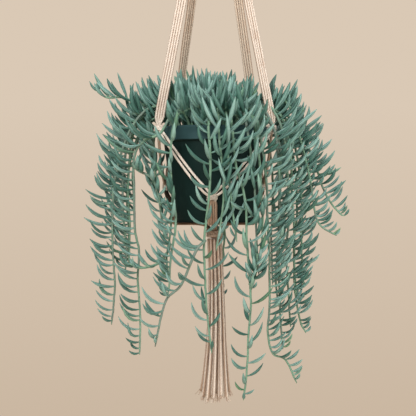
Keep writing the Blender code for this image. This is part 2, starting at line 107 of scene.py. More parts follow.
# camera and room: the surround fades from its low colour to its high one between two heights
CAMERA_DISTANCE = 2.4
VIEW_WIDTH = 0.587
SENSOR = 36.0
VIEW_CENTRE = (-9.2 * MM, RIM_Z - 114 * MM)
FLOOR_RADIUS = 3.2
FLOOR_DROP = 0.5
ROOM_HIGH = (0.700, 0.582, 0.462)
ROOM_LOW = (0.585, 0.468, 0.354)
ROOM_FADE = (-0.13, 0.06)
ROOM_LIGHT = (0.72, 0.66, 0.59, 1.0)
ROOM_STRENGTH = 0.42
# soft lights: place, size, watts and colour
SOFTBOXES = {
    "key_softbox": ((-0.8, -2.1, 0.7), 1.2, 54, (1.0, 0.985, 0.96)),
    "fill_softbox": ((1.8, -1.8, 0.0), 1.5, 30, (1.0, 0.985, 0.96)),
    "top_softbox": ((0.2, 0.5, 1.3), 1.4, 30, (1.0, 0.99, 0.97)),
}

# colours of the cotton's stains (also used for its darkening round the pot's base) and lit fibres, and of a
# leaf's painted shade on its back, window line, foot and tip
STAIN = (0.42, 0.26, 0.17)
LIT_FIBRE = (0.95, 0.88, 0.79)
LEAF_BACK_SHADE = (0.020, 0.080, 0.062)
LEAF_WINDOW = (0.020, 0.070, 0.058)
LEAF_FOOT = (0.21, 0.36, 0.22)
LEAF_TIP = (0.09, 0.10, 0.06)

# legs: azimuth, where each bends over the foliage (radius, height above the rim), which way its
# flat side faces
LEGS = {
    "front_left": (200, 79 * MM, 27 * MM, -95),
    "back_left": (131, 83 * MM, 20 * MM, 128),
    "back_right": (46, 83 * MM, 20 * MM, 62),
    "front_right": (-14, 80 * MM, 20 * MM, -62),
}
# lower knots: azimuth and the legs whose cords meet there
LOWER_KNOTS = {
    "left": (166, ("front_left", "back_left")),
    "front": (-93, ("front_left", "front_right")),
    "right": (16, ("front_right", "back_right")),
    "back": (88, ("back_right", "back_left")),
}

# tassel cords: radius and azimuth at the top, x, y and drop below the rim of the end, in millimetres
TASSEL = [
    (3.9, 20, 6, 3, 379), (3.9, 92, 1, 8, 376), (3.9, 164, -7, 4, 381), (3.9, 236, -4, -6, 377),
    (3.9, 308, 5, -6, 382), (8.7, 5, 21, 2, 374), (8.7, 38, 15, 12, 378), (8.7, 71, 7, 18, 380),
    (8.7, 103, -4, 17, 375), (8.7, 136, -13, 13, 379), (8.7, 169, -19, 4, 372), (8.7, 202, -16, -6, 380),
    (8.7, 235, -10, -15, 383), (8.7, 267, -1, -18, 381), (8.7, 300, 9, -16, 377), (8.7, 333, 17, -8, 382),
]
TASSEL_SWAY = 2.5 * MM          # the bundle leans this far to one side halfway down
# how far down its length, and how far out to its end's place, a tassel cord is at each bend
TASSEL_BENDS = ((0.12, 0.02), (0.3, 0.08), (0.5, 0.2), (0.7, 0.42), (0.87, 0.72))

# stems that trail over the rim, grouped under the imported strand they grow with. Each stem: which way
# its leaves are combed, how steeply they rise (0 level and hooked, 1 upright), leaf length, spacing
# along the stem, then x, y and drop below the rim of each point of its route, all in millimetres
STRANDS = {
    "strand_far_left": [
        ((-1, -0.1), 0.15, 41, 10, [
            (-48, -4, 15), (-62, -10, -22), (-92, -18, -26), (-119, -24, 6), (-140, -24, 75),
            (-143, -22, 131), (-142, -22, 173), (-139, -22, 223), (-144, -22, 277)]),
        ((-0.5, 0), 0.8, 38, 9, [(-98, -12, -30), (-129, 0, -42), (-152, 0, -42), (-168, 0, -54)]),
        ((-1, 0.1), 0.3, 42, 10, [
            (-60, -4, 10), (-84, -6, -30), (-112, -8, -8), (-128, -8, 50), (-130, -8, 110),
            (-124, -6, 170), (-126, -6, 205)]),
    ],
    "strand_left": [
        ((-1, -0.3), 0.1, 44, 10, [
            (-42, -26, 15), (-58, -42, -12), (-76, -56, 12), (-98, -56, 22), (-112, -52, 48),
            (-111, -48, 138), (-105, -46, 173), (-106, -44, 215), (-103, -44, 258), (-104, -44, 317)]),
        ((0.2, -1), 0.5, 30, 10, [(-114, -50, 52), (-106, -66, 62), (-84, -76, 76), (-74, -80, 110)]),
        ((-0.9, 0.1), 0.25, 40, 9, [
            (-60, 2, 10), (-86, 0, -26), (-114, -2, 10), (-122, -2, 80), (-120, -2, 130),
            (-120, -4, 190)]),
    ],
    "strand_front_left": [
        ((-0.5, -0.6), 0.35, 40, 10, [
            (-30, -36, 15), (-42, -54, -18), (-56, -70, 2), (-61, -74, 58), (-58, -74, 100),
            (-60, -70, 145), (-66, -66, 180), (-63, -66, 209)]),
        ((-0.4, 0), 0.3, 32, 9, [(-66, -68, 176), (-78, -70, 190), (-100, -72, 196), (-118, -72, 190)]),
        ((-0.8, -0.3), 0.35, 32, 8, [(-58, -76, 96), (-53, -78, 134), (-60, -76, 182), (-64, -74, 236)]),
        ((-0.5, 0.2), 0.7, 36, 8, [
            (-50, 10, 12), (-66, 14, -20), (-84, 14, 6), (-88, 12, 50), (-88, 12, 84)]),
        ((-0.1, -0.3), 0.7, 30, 6, [
            (-52, -10, 12), (-68, -12, -14), (-84, -10, 10), (-84, -9, 50), (-79, -8, 90), (-74, -7, 128),
            (-70, -6, 160)]),
    ],
    "strand_front": [
        ((-0.2, -0.5), 0.45, 40, 10, [
            (-6, -48, 15), (-8, -68, -16), (-8, -90, 4), (-5, -96, 46), (-6, -94, 89), (-13, -86, 159),
            (-12, -82, 202), (-11, -80, 244), (-9, -80, 272), (-4, -80, 312)]),
        ((-0.6, -0.5), 0.3, 40, 10, [
            (-13, -88, 158), (-26, -98, 172), (-46, -98, 218), (-66, -98, 240), (-78, -98, 290),
            (-81, -96, 302)]),
        ((0.3, -0.6), 0.9, 44, 12, [
            (4, -50, 15), (4, -74, -22), (4, -94, 2), (8, -98, 44), (12, -96, 90), (8, -94, 130),
            (2, -92, 172)]),
    ],
    "strand_front_right": [
        ((0.1, -0.5), 0.35, 42, 10, [
            (16, -44, 15), (20, -66, -24), (25, -86, 6), (30, -92, 55), (43, -92, 103), (45, -88, 159),
            (50, -82, 237), (47, -82, 290), (43, -82, 343), (39, -82, 376)]),
        ((0.2, -0.6), 0.9, 46, 12, [
            (10, -46, 15), (14, -70, -18), (16, -88, 8), (18, -92, 60), (24, -92, 110), (30, -90, 160)]),
        ((0.4, -0.6), 0.8, 46, 12, [
            (24, -44, 15), (36, -66, -24), (44, -82, 8), (50, -88, 60), (54, -86, 110), (56, -82, 160),
            (60, -80, 205)]),
    ],
    "strand_right": [
        ((0.6, -0.5), 0.4, 32, 8, [
            (38, -30, 15), (50, -52, -18), (64, -62, 20), (71, -66, 75), (73, -66, 120), (76, -62, 180),
            (77, -60, 244), (74, -60, 286), (80, -60, 314), (98, -60, 323), (113, -60, 355)]),
        ((0.3, -0.6), 0.7, 38, 8.5, [
            (34, -40, 15), (46, -60, -24), (56, -74, 10), (62, -80, 66), (64, -80, 130), (60, -78, 180),
            (50, -78, 226)]),
        ((0.8, -0.4), 0.5, 36, 8.5, [
            (44, -30, 15), (62, -44, -24), (82, -52, 6), (88, -54, 70), (88, -54, 130), (84, -52, 200),
            (88, -52, 250)]),
        ((-0.1, -0.2), 0.9, 30, 4, [(58, -88, 176), (54, -90, 200), (46, -90, 218)]),
    ],
    "strand_right_inner": [
        ((0.9, -0.4), 0.35, 36, 8.5, [
            (56, -10, 15), (68, -24, -14), (88, -34, 20), (92, -38, 70), (90, -38, 145), (90, -36, 200),
            (92, -36, 255), (95, -36, 310)]),
        ((0.9, -0.2), 0.5, 36, 9, [
            (50, -14, 15), (72, -18, -30), (94, -22, 0), (102, -26, 60), (104, -26, 120), (100, -26, 180),
            (104, -26, 245), (106, -26, 280)]),
        ((0.7, 0.4), 0.6, 34, 9, [
            (46, 14, 15), (64, 20, -28), (88, 24, 10), (94, 26, 70), (92, 26, 140), (92, 26, 225)]),
    ],
    "strand_right_outer": [
        ((1, -0.2), 0.35, 34, 8, [
            (52, 6, 15), (66, 4, -24), (92, -10, -18), (106, -16, 32), (108, -18, 90), (113, -18, 159),
            (113, -18, 220), (119, -18, 270), (128, -18, 289)]),
        ((1, 0), 0.5, 34, 9, [
            (50, 4, 15), (72, 6, -30), (100, 6, -12), (116, 4, 40), (122, 2, 100), (122, 2, 150),
            (126, 2, 225)]),
        ((0.8, 0.3), 0.4, 32, 9, [
            (46, 16, 15), (68, 20, -30), (94, 16, -6), (112, 14, 50), (116, 12, 110), (112, 10, 170),
            (116, 8, 246)]),
    ],
    "strand_far_right": [
        ((1, 0.1), 0.3, 32, 7, [
            (46, 22, 15), (62, 22, -36), (96, 10, -34), (114, 4, 12), (131, 0, 58), (138, -2, 96),
            (147, -4, 135), (172, -4, 153)]),
        ((1, 0.2), 0.5, 34, 8, [
            (108, 8, -8), (118, 18, 0), (140, 16, 44), (156, 12, 92), (178, 10, 122), (186, 10, 124)]),
        ((1, -0.2), 0.6, 32, 9, [
            (56, -4, 15), (80, -6, -38), (104, -12, -30), (118, -16, 10), (128, -18, 50),
            (136, -18, 80)]),
    ],
    "strand_back_left": [
        ((-0.7, 0.5), 0.4, 36, 9, [
            (-42, 22, 15), (-60, 36, -22), (-92, 44, -16), (-118, 44, 30), (-126, 40, 90),
            (-124, 36, 150), (-122, 34, 196)]),
        ((-0.8, 0.5), 0.6, 38, 10, [
            (-52, 10, 15), (-74, 24, -20), (-104, 32, 8), (-116, 32, 60), (-114, 30, 120)]),
        ((-0.4, 1), 0.6, 38, 10, [
            (-20, 46, 15), (-28, 68, -20), (-36, 88, 10), (-42, 90, 70), (-40, 86, 130)]),
    ],
    "strand_back": [
        ((0.1, 1), 0.4, 36, 10, [
            (8, 50, 15), (6, 70, -20), (8, 92, 6), (14, 96, 60), (16, 92, 130), (12, 84, 200),
            (10, 82, 250)]),
        ((0.5, 1), 0.6, 38, 10, [(20, 46, 15), (30, 66, -20), (42, 84, 10), (50, 88, 70), (50, 84, 130)]),
        ((0.8, 0.8), 0.5, 38, 10, [
            (40, 36, 15), (58, 52, -20), (76, 62, 10), (84, 66, 80), (82, 64, 160), (84, 62, 225)]),
    ],
}

# crown: azimuths of the low shoots over the rim, numbers of short and of tall shoots, leaf lengths in
# millimetres, and the turn from one shoot to the next in degrees
RIM_SHOOTS = (-176, -166, -156, -146, -70, -52, -34, -16, 4, 24, 48, 74, 102, 120, 138, 152, 166, 178)
SHORT_SHOOTS = 26
TALL_SHOOTS = 64
RIM_LEAF, SHORT_LEAF, TALL_LEAF = 36, 25, 44
SHOOT_TURN = 137.5

# a leaf's half width at each height, both as shares, and how thick it is for its width
LEAF_OUTLINE = ((0.0, 0.0), (0.03, 0.34), (0.13, 0.58), (0.28, 0.86), (0.46, 1.0), (0.64, 0.94),
                (0.80, 0.68), (0.92, 0.32))
LEAF_THICKNESS = 0.84
LEAF_TURN = 2.4                 # radians from one leaf to the next round a stem
DEEPEST = 126 * MM              # leaf tips at the back stop here
STEM_ROOM = 1.3 * MM            # leaves stay this far from a stem's middle line
LEAF_ROOM = 0.33                # and this share of a leaf's width from its middle line


# ---------------------------------------------------------------- shader maths and materials

class Value:
    """A number on a shader socket, so that shader sums are written as they are read."""

    def __init__(self, look, socket):
        self.look = look
        self.socket = socket

    def maths(self, operation, first, second):
        """A Math node on two numbers or values."""
        made = self.look.node("ShaderNodeMath", {"operation": operation}, {0: first, 1: second})
        return Value(self.look, made.outputs[0])

    def __add__(self, other):
        return self.maths("ADD", self, other)

    def __sub__(self, other):
        return self.maths("SUBTRACT", self, other)

    def __rsub__(self, other):
        return self.maths("SUBTRACT", other, self)

    def __mul__(self, other):
        return self.maths("MULTIPLY", self, other)

    __radd__ = __add__
    __rmul__ = __mul__


class Nodes:
    """The nodes of a material or of the surround."""

    def __init__(self, owner):
        owner.use_nodes = True
        self.tree = owner.node_tree

    def node(self, kind, settings=None, sockets=None):
        """Any node: its settings first, then the values or links of its sockets."""
        made = self.tree.nodes.new(kind)
        for name, value in (settings or {}).items():
            if name == "stops":
                ramp = made.color_ramp
                while len(ramp.elements) < len(value):
                    ramp.elements.new(0.5)
                for element, (position, colour) in zip(ramp.elements, value):
                    element.position = position
                    element.color = (*colour, 1.0)
            else:
                setattr(made, name, value)
        for name, value in (sockets or {}).items():
            self.feed(made.inputs[name], value)
        return made

    def feed(self, socket, value):
        """Link a value to a socket, or set it there."""
        if isinstance(value, Value):
            self.tree.links.new(value.socket, socket)
        elif isinstance(value, bpy.types.NodeSocket):
            self.tree.links.new(value, socket)
        else:
            socket.default_value = value


class Look(Nodes):
    """A material being put together: its shader and the nodes that feed it."""

    def __init__(self, name, fixed):
        self.material = bpy.data.materials.new(name)
        super().__init__(self.material)
        self.shader = self.tree.nodes["Principled BSDF"]
        for socket, value in fixed.items():
            self.shader.inputs[socket].default_value = value
        self.place = self.node("ShaderNodeTexCoord").outputs["Object"]

    def height(self):
        """The height of the point, in metres."""
        return Value(self, self.node("ShaderNodeSeparateXYZ", {}, {0: self.place}).outputs["Z"])

    def noise(self, scale, detail=3.0, rough=0.55, stretch=None):
        """Noise from 0 to 1 at this many waves a metre, drawn out where stretch is below 1."""
        place = self.place
        if stretch:
            drawn = self.node("ShaderNodeVectorMath", {"operation": "MULTIPLY"}, {0: place, 1: stretch})
            place = drawn.outputs[0]
        made = self.node("ShaderNodeTexNoise", {}, {
            "Vector": place, "Scale": scale, "Detail": detail, "Roughness": rough})
        return Value(self, made.outputs["Fac"])

    def mark(self, name):
        """A number stored on the mesh's points."""
        made = self.node("ShaderNodeAttribute", {"attribute_name": name})
        return Value(self, made.outputs["Fac"])

    def band(self, value, low, high):
        """0 below low, 1 above high, smooth between."""
        made = self.node("ShaderNodeMapRange", {"interpolation_type": "SMOOTHSTEP"}, {
            "Value": value, "From Min": low, "From Max": high})
        return Value(self, made.outputs["Result"])

    def ramp(self, value, stops):
        """A colour picked by a number from a run of (position, colour) stops."""
        return self.node("ShaderNodeValToRGB", {"stops": stops}, {"Fac": value}).outputs["Color"]

    def mix(self, share, first, second):
        """A colour between two others."""
        first, second = ((*c, 1.0) if isinstance(c, tuple) else c for c in (first, second))
        made = self.node("ShaderNodeMix", {"data_type": "RGBA"}, {0: share, 6: first, 7: second})
        return made.outputs[2]

    def finish(self, colour, rough, height=None, depth=0.0002):
        """Connect the colour, the roughness and a bump of this depth in metres."""
        self.feed(self.shader.inputs["Base Color"], colour)
        self.feed(self.shader.inputs["Roughness"], rough)
        if height is not None:
            bump = self.node("ShaderNodeBump", {}, {"Height": height, "Strength": 1.0, "Distance": depth})
            self.feed(self.shader.inputs["Normal"], bump.outputs["Normal"])
        return self.material


def cotton_look(name, cream, shade, sheen=0.25):
    """Natural cotton: painted shade in the valleys, fine fibres, stretches of brown stain, darker brown
    round the height of the pot's base.
    """
    look = Look(name, {"Sheen Weight": sheen, "Sheen Roughness": 0.6, "Specular IOR Level": 0.2})
    crest = look.mark("crest")
    fibres = look.noise(2600, 2.0, 0.7)
    cloud = look.noise(55, 3.0)
    # painted shade: the crest mark is low in the valleys between plies and where cords lie against their
    # neighbours
    body = look.mix(look.band(crest * (0.85 + 0.15 * fibres), 0.0, 1.0), shade, cream)
    height = look.height()
    # darker brown round the height of the pot's base, fading out 110 mm below it and 40 mm above it
    below = look.band(height, BASE_Z - 110 * MM, BASE_Z - 10 * MM)
    near_pot_base = below * (1 - look.band(height, BASE_Z, BASE_Z + 40 * MM))
    stained = look.mix(look.band(cloud, 0.45, 0.75) * 0.3 + near_pot_base * 0.6, body, STAIN)
    lit = look.mix(look.band(fibres, 0.62, 0.8) * crest * 0.4, stained, LIT_FIBRE)
    bumps = crest * 0.5 + fibres * 0.4 + look.noise(900, 2.0) * 0.3
    return look.finish(lit, 0.82 + 0.15 * fibres, bumps, 0.0004)


def leaf_look(name, deep, mid, bloom, young):
    """Waxy leaf: blue-grey bloom rubbed in places, a dark window line on each flank, painted shade on its
    back.
    """
    look = Look(name, {"Specular IOR Level": 0.45, "Subsurface Weight": 0.05,
                       "Subsurface Scale": 0.002, "Subsurface Radius": (0.4, 1.0, 0.5)})
    tone = look.mark("tone")
    along = look.mark("along")
    across = look.mark("across")
    wax = look.band(look.noise(210, 4.0, 0.65) * 0.55 + tone * 0.75, 0.35, 1.05)
    flesh = look.mix(tone, deep, mid)
    waxed = look.mix(wax * 0.85, flesh, bloom)
    fresh = look.mix(look.band(look.mark("youth"), 0.35, 0.95), waxed, young)
    # painted shade on the leaf's back side
    shaded = look.mix(look.band(across, 0.25, 0.95) * 0.55, fresh, LEAF_BACK_SHADE)
    middle = look.band(along, 0.10, 0.25) * (1 - look.band(along, 0.82, 0.98))
    window = (1 - look.band(across * across, 0.0, 0.16)) * middle
    lined = look.mix(window * 0.62, shaded, LEAF_WINDOW)
    foot = look.mix((1 - look.band(along, 0.0, 0.16)) * 0.45, lined, LEAF_FOOT)
    tipped = look.mix(look.band(along, 0.93, 1.0) * 0.6, foot, LEAF_TIP)
    grain = look.noise(1500, 2.0)
    bumps = grain * 0.5 + look.noise(420, 2.0) * 0.6
    return look.finish(tipped, 0.40 + 0.20 * wax + 0.10 * grain, bumps, 0.0002)


def stem_look():
    """Pale green stem with a purplish cast in places and faint nodes."""
    look = Look("succulent_stem", {
        "Specular IOR Level": 0.4, "Subsurface Weight": 0.05, "Subsurface Scale": 0.001})
    tone = look.mark("tone")
    cast = look.band(look.noise(26, 3.0) * 0.7 + tone * 0.4, 0.52, 0.8)
    body = look.mix(look.noise(240, 3.0), (0.13, 0.26, 0.17), (0.24, 0.40, 0.29))
    tinted = look.mix(cast * 0.55, body, (0.16, 0.15, 0.17))
    grain = look.noise(1100, 3.0)
    return look.finish(tinted, 0.45 + 0.25 * grain, grain, 0.0003)


def pot_look():
    """Dark green moulded plastic, satin, paler round the rim band with painted light, dusty in patches, with
    handling scuffs and painted shade at its foot.
    """
    look = Look("moulded_plastic", {"Specular IOR Level": 0.18})
    height = look.height()
    # painted light: the rim band is paler and bluer than the body
    rim = look.band(height, RIM_Z - RIM_BAND - 0.5 * MM, RIM_Z - RIM_BAND + 2 * MM)
    cloud = look.noise(18, 4.0, 0.6)
    dust = look.band(look.noise(140, 5.0, 0.7) * 0.6 + cloud * 0.5, 0.52, 0.85)
    body = look.mix(cloud, (0.0025, 0.014, 0.0125), (0.0045, 0.022, 0.020))
    band_lit = look.mix(rim * (0.55 + 0.3 * cloud), body, (0.038, 0.092, 0.104))
    dusty = look.mix(dust * 0.12, band_lit, (0.050, 0.085, 0.082))
    scuff = look.band(look.noise(60, 6.0, 0.75, (1.0, 1.0, 0.18)), 0.60, 0.72)
    worn = look.mix(scuff * 0.16, dusty, (0.050, 0.095, 0.095))
    # painted shade: the bottom few millimetres of the foot are darkened, and made rougher
    foot = 1 - look.band(height, BASE_Z + 1 * MM, BASE_Z + 5 * MM)
    foot_shaded = look.mix(foot * 0.8, worn, (0.0025, 0.008, 0.007))
    grain = look.noise(1600, 2.0)
    rough = 0.48 + 0.20 * dust + 0.12 * grain + 0.3 * foot
    return look.finish(foot_shaded, rough, grain * 0.5 + look.noise(90, 2.0) * 0.3, 0.00015)


def soil_look():
    """Dark peat mix with bark."""
    look = Look("potting_mix", {"Specular IOR Level": 0.2})
    lump = look.noise(330, 6.0, 0.7)
    body = look.ramp(lump, [
        (0.25, (0.008, 0.005, 0.004)), (0.5, (0.030, 0.019, 0.012)), (0.75, (0.085, 0.052, 0.032))])
    return look.finish(body, 0.85 + 0.12 * lump, lump + look.noise(1200, 3.0) * 0.5, 0.002)


def bit_look(name, dark, light):
    """Bark chips or perlite."""
    look = Look(name, {"Specular IOR Level": 0.25})
    grain = look.noise(700, 4.0, 0.65)
    return look.finish(look.mix(grain, dark, light), 0.8 + 0.15 * grain, grain, 0.0006)


def steel_look():
    """Drawn steel wire with fine scratches and slightly dulled patches."""
    look = Look("ring_steel", {"Metallic": 1.0})
    streak = look.noise(900, 3.0, 0.6, (0.3, 1.0, 1.0))
    dull = look.noise(90, 4.0)
    colour = look.mix(dull, (0.50, 0.48, 0.45), (0.68, 0.66, 0.62))
    return look.finish(colour, 0.22 + 0.18 * dull + 0.12 * streak, streak, 0.00008)


def floor_look():
    """Matt pale floor with a faint cloud."""
    look = Look("studio_floor", {"Specular IOR Level": 0.1})
    cloud = look.noise(1.5, 2.0)
    return look.finish(look.mix(cloud, (0.70, 0.60, 0.49), (0.74, 0.64, 0.53)), 0.9 + 0.05 * cloud)


# ---------------------------------------------------------------- shapes

def select_none():
    """Leave edit mode and deselect everything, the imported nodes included."""
    if bpy.context.object and bpy.context.object.mode != "OBJECT":
        bpy.ops.object.mode_set(mode="OBJECT")
    bpy.ops.object.select_all(action="DESELECT")


def pick(thing, kind, wanted):
    """In edit mode, select only those of the verts, edges or faces that are wanted."""
    bpy.ops.mesh.select_all(action="DESELECT")
    shape = bmesh.from_edit_mesh(thing.data)
    for part in getattr(shape, kind):
        if wanted(part):
            part.select = True
    shape.select_flush_mode()


def lifted(thing):
    """The points and faces of a shape to be copied; the shape itself goes."""
    points = np.array([tuple(vert.co) for vert in thing.data.vertices])
    faces = [tuple(face.vertices) for face in thing.data.polygons]
    bpy.data.objects.remove(thing, do_unlink=True)
    return points, faces


class Pile:
    """Shapes gathered into one mesh, with numbers on their points for the materials to read."""

    def __init__(self):
        self.points = []
        self.faces = []
        self.slots = []
        self.marks = {}
        self.count = 0

    def add(self, points, faces, slot=0, **marks):
        """One more shape, with its material slot and its marks: a number each, or one to a point."""
        self.points.append(points)
        self.faces += [tuple(self.count + corner for corner in face) for face in faces]
        self.slots += [slot] * len(faces)
        for name, values in marks.items():
            values = np.broadcast_to(values, len(points))
            self.marks.setdefault(name, []).append((self.count, values))
        self.count += len(points)

    def build(self, name, looks, body, nodes=()):
        """One smooth object that rides on a body and stands for these nodes."""
        mesh = bpy.data.meshes.new(name)
        mesh.from_pydata(np.vstack(self.points).tolist(), [], self.faces)
        for look in looks:
            mesh.materials.append(look)
        mesh.polygons.foreach_set("material_index", self.slots)
        mesh.polygons.foreach_set("use_smooth", [True] * len(self.faces))
        for mark, runs in self.marks.items():
            values = np.zeros(self.count)
            for start, run in runs:
                values[start:start + len(run)] = run
            mesh.attributes.new(mark, "FLOAT", "POINT").data.foreach_set("value", values)
        thing = bpy.data.objects.new(name, mesh)
        bpy.context.scene.collection.objects.link(thing)
        return dress(thing, body, nodes)


def dress(thing, body, nodes):
    """Join a piece to its body and hide the nodes it stands for."""
    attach(thing, body)
    if nodes:
        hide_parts(*nodes)
    return thing


def around(azimuth, radius, drop):
    """The point at this azimuth and radius from the pot's axis, this far below its rim."""
    turn = math.radians(azimuth)
    return np.array((radius * math.cos(turn), radius * math.sin(turn), RIM_Z - drop))


def heading(azimuth):
    """The level direction at this azimuth in degrees."""
    turn = math.radians(azimuth)
    return np.array((math.cos(turn), math.sin(turn), 0.0))


def middle_of(node):
    """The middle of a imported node's box."""
    low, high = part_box(node)
    return np.array((low + high) / 2)


def in_place(points):
    """Plant points given in millimetres across, away and below the rim's middle."""
    return [np.array((x * MM, y * MM, RIM_Z - drop * MM)) for x, y, drop in points]


def wall_radius(drop):
    """The pot's outer radius at this drop."""
    if drop <= RIM_BAND:
        return RIM_RADIUS
    return BODY_TOP_RADIUS + (BASE_RADIUS - BODY_TOP_RADIUS) * min(drop / POT_HEIGHT, 1.0)


def unit(vectors):
    """Vectors at length one."""
    return vectors / np.maximum(np.linalg.norm(vectors, axis=-1, keepdims=True), 1e-9)


def travel(points):
    """How far along a run of points each one is."""
    return np.concatenate([[0.0], np.cumsum(np.linalg.norm(np.diff(points, axis=0), axis=1))])


def smooth(points, step):
    """Evenly spaced points, about a step apart, on a smooth curve through these points."""
    ends = [points[0] * 2 - points[1], *points, points[-1] * 2 - points[-2]]
    share = np.arange(12)[:, None] / 12
    fine = []
    for a, b, c, d in zip(ends, ends[1:], ends[2:], ends[3:]):
        fine.append(0.5 * (2 * b + (c - a) * share + (2 * a - 5 * b + 4 * c - d) * share ** 2
                           + (3 * b - a - 3 * c + d) * share ** 3))
    fine = np.vstack([*fine, points[-1][None]])
    lengths = travel(fine)
    wanted = np.linspace(0.0, lengths[-1], max(3, round(lengths[-1] / step) + 1))
    return np.stack([np.interp(wanted, lengths, fine[:, axis]) for axis in range(3)], axis=1)


def length_of(points):
    """The length of a run of points."""
    return float(np.linalg.norm(np.diff(points, axis=0), axis=1).sum())


def carried_frames(points):
    """The tangent at each point of a run, and two directions square to it that never spin."""
    tangents = unit(np.gradient(points, axis=0))
    first = np.cross(tangents[0], (0.31, 0.9, 0.3))
    normals = [unit(first)]
    for tangent in tangents[1:]:
        last = normals[-1]
        normals.append(unit(last - tangent * last.dot(tangent)))
    normals = np.array(normals)
    return tangents, normals, np.cross(tangents, normals)


def tube(points, radii, sides, plies=0, turn=0.0):
    """A closed tube, plain or with plies twisted round it; gives points, faces and crest heights."""
    tangents, normals, others = carried_frames(points)
    angles = np.arange(sides) * math.tau / sides
    crest = np.abs(np.cos(plies * angles / 2)) ** 0.7 if plies else np.ones(sides)
    reach = 1 - PLY_DEPTH * (1 - crest)
    spin = turn + travel(points) / LAY * math.tau * (plies > 0)
    facing = angles[None, :] + spin[:, None]
    radii = np.broadcast_to(radii, len(points))[:, None, None]
    arms = normals[:, None] * np.cos(facing)[..., None] + others[:, None] * np.sin(facing)[..., None]
    rings = points[:, None] + arms * radii * reach[None, :, None]
    ends = np.array([points[0] - tangents[0] * radii[0, 0, 0] * 0.35,
                     points[-1] + tangents[-1] * radii[-1, 0, 0] * 0.35])
    body = np.vstack([rings.reshape(-1, 3), ends])
    last = len(points) - 1
    faces = []
    for ring in range(last):
        for side in range(sides):
            after = (side + 1) % sides
            low, high = ring * sides, (ring + 1) * sides
            faces.append((low + side, low + after, high + after, high + side))
    for side in range(sides):
        after = (side + 1) % sides
        faces.append((last * sides + side, last * sides + after, len(body) - 1))
        faces.append((after, side, len(body) - 2))
    crests = np.concatenate([np.tile(crest, len(points)), [0.6, 0.6]])
    return body, faces, crests


def add_cord(pile, points, radius=CORD / 2, turn=0.0, beside=None):
    """A twisted cord along these points, with painted shade in the valleys between its plies and where it
    lies against its neighbours.
    """
    body, faces, crests = tube(points, radius, CORD_SIDES, PLIES, turn)
    crests = 0.66 + 0.34 * crests
    if beside is not None:
        offset = body[:-2].reshape(len(points), -1, 3) - points[:, None]
        lean = np.abs((offset * np.reshape(beside, (-1, 1, 3))).sum(axis=2)).ravel() / (CORD / 2)
        crests[:-2] *= 1.0 - 0.85 * np.clip((lean - 0.45) / 0.4, 0, 1)
    pile.add(body, faces, crest=crests)


# ---------------------------------------------------------------- room and camera

def make_camera():
    """Level, long-lens camera in front of the pot."""
    bpy.ops.object.camera_add(location=(VIEW_CENTRE[0], -CAMERA_DISTANCE, VIEW_CENTRE[1]),
                              rotation=(math.pi / 2, 0, 0))
    camera = bpy.context.object
    camera.name = "main_camera"
    camera.data.lens = SENSOR * CAMERA_DISTANCE / VIEW_WIDTH
    camera.data.sensor_width = SENSOR
    bpy.context.scene.camera = camera


def softbox(name, place, size, watts, colour):
    """A square light that faces the pot."""
    bpy.ops.object.light_add(type="AREA", location=place)
    light = bpy.context.object
    light.name = name
    light.data.size = size
    light.data.energy = watts
    light.data.color = colour
    aim = Vector((0, 0, RIM_Z)) - Vector(place)
    light.rotation_euler = aim.to_track_quat("-Z", "Y").to_euler()


def make_room():
    """A pale floor under the object, a warm plain surround and three soft lights."""
    select_none()
    bpy.ops.mesh.primitive_circle_add(vertices=96, radius=FLOOR_RADIUS, fill_type="NGON",
                                      location=(0, 0, cad_box[0][2] - FLOOR_DROP))
    floor = bpy.context.object
    floor.name = "studio_floor"
    bpy.ops.object.transform_apply(location=True)
    floor.data.materials.append(floor_look())
    for name, settings in SOFTBOXES.items():
        softbox(name, *settings)
    world = bpy.data.worlds.new("surround")
    sky = Nodes(world)
    seen = sky.tree.nodes["Background"]
    way = sky.node("ShaderNodeTexCoord").outputs["Generated"]
    height = sky.node("ShaderNodeSeparateXYZ", {}, {0: way}).outputs["Z"]
    rise = sky.node("ShaderNodeMapRange", {}, {
        "Value": height, "From Min": ROOM_FADE[0], "From Max": ROOM_FADE[1]})
    fade = sky.node("ShaderNodeValToRGB", {"stops": [(0.0, ROOM_LOW), (1.0, ROOM_HIGH)]}, {
        "Fac": rise.outputs[0]})
    sky.feed(seen.inputs["Color"], fade.outputs["Color"])
    lighting = sky.node("ShaderNodeBackground", {}, {"Color": ROOM_LIGHT, "Strength": ROOM_STRENGTH})
    camera_ray = sky.node("ShaderNodeLightPath").outputs["Is Camera Ray"]
    mixed = sky.node("ShaderNodeMixShader", {}, {0: camera_ray, 1: lighting.outputs[0], 2: seen.outputs[0]})
    sky.feed(sky.tree.nodes["World Output"].inputs[0], mixed.outputs[0])
    scene = bpy.context.scene
    scene.world = world
    scene.view_settings.view_transform = "Standard"


# ---------------------------------------------------------------- cotton hanger

def make_tassel(cotton):
    """Sixteen free cord ends that hang from the gathering wrap."""
    top_drop = RIM_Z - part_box("gathering_wrap")[0].z + 0.4 * MM
    for number, (radius, azimuth, *end_place) in enumerate(TASSEL, start=1):
        name = f"tassel_cord_{number:02d}"
        top = around(azimuth, radius * MM, top_drop)
        end = in_place([end_place])[0]
        route = [top]
        for share, spread in TASSEL_BENDS:
            flat = top + (end - top) * spread
            sway = TASSEL_SWAY * math.sin(math.pi * share)
            route.append(np.array((flat[0] + sway, flat[1], top[2] + (end[2] - top[2]) * share)))
        points = smooth([*route, end], CORD_STEP)
        pile = Pile()
        radii = np.full(len(points), CORD / 2)
        radii[-7:] *= np.linspace(1.0, 1.2, 7)
        add_cord(pile, points, radii, number * 1.7, np.cross(UP, heading(azimuth)))
        piece = pile.build("hanging_" + name, [cotton], "basket", [name])


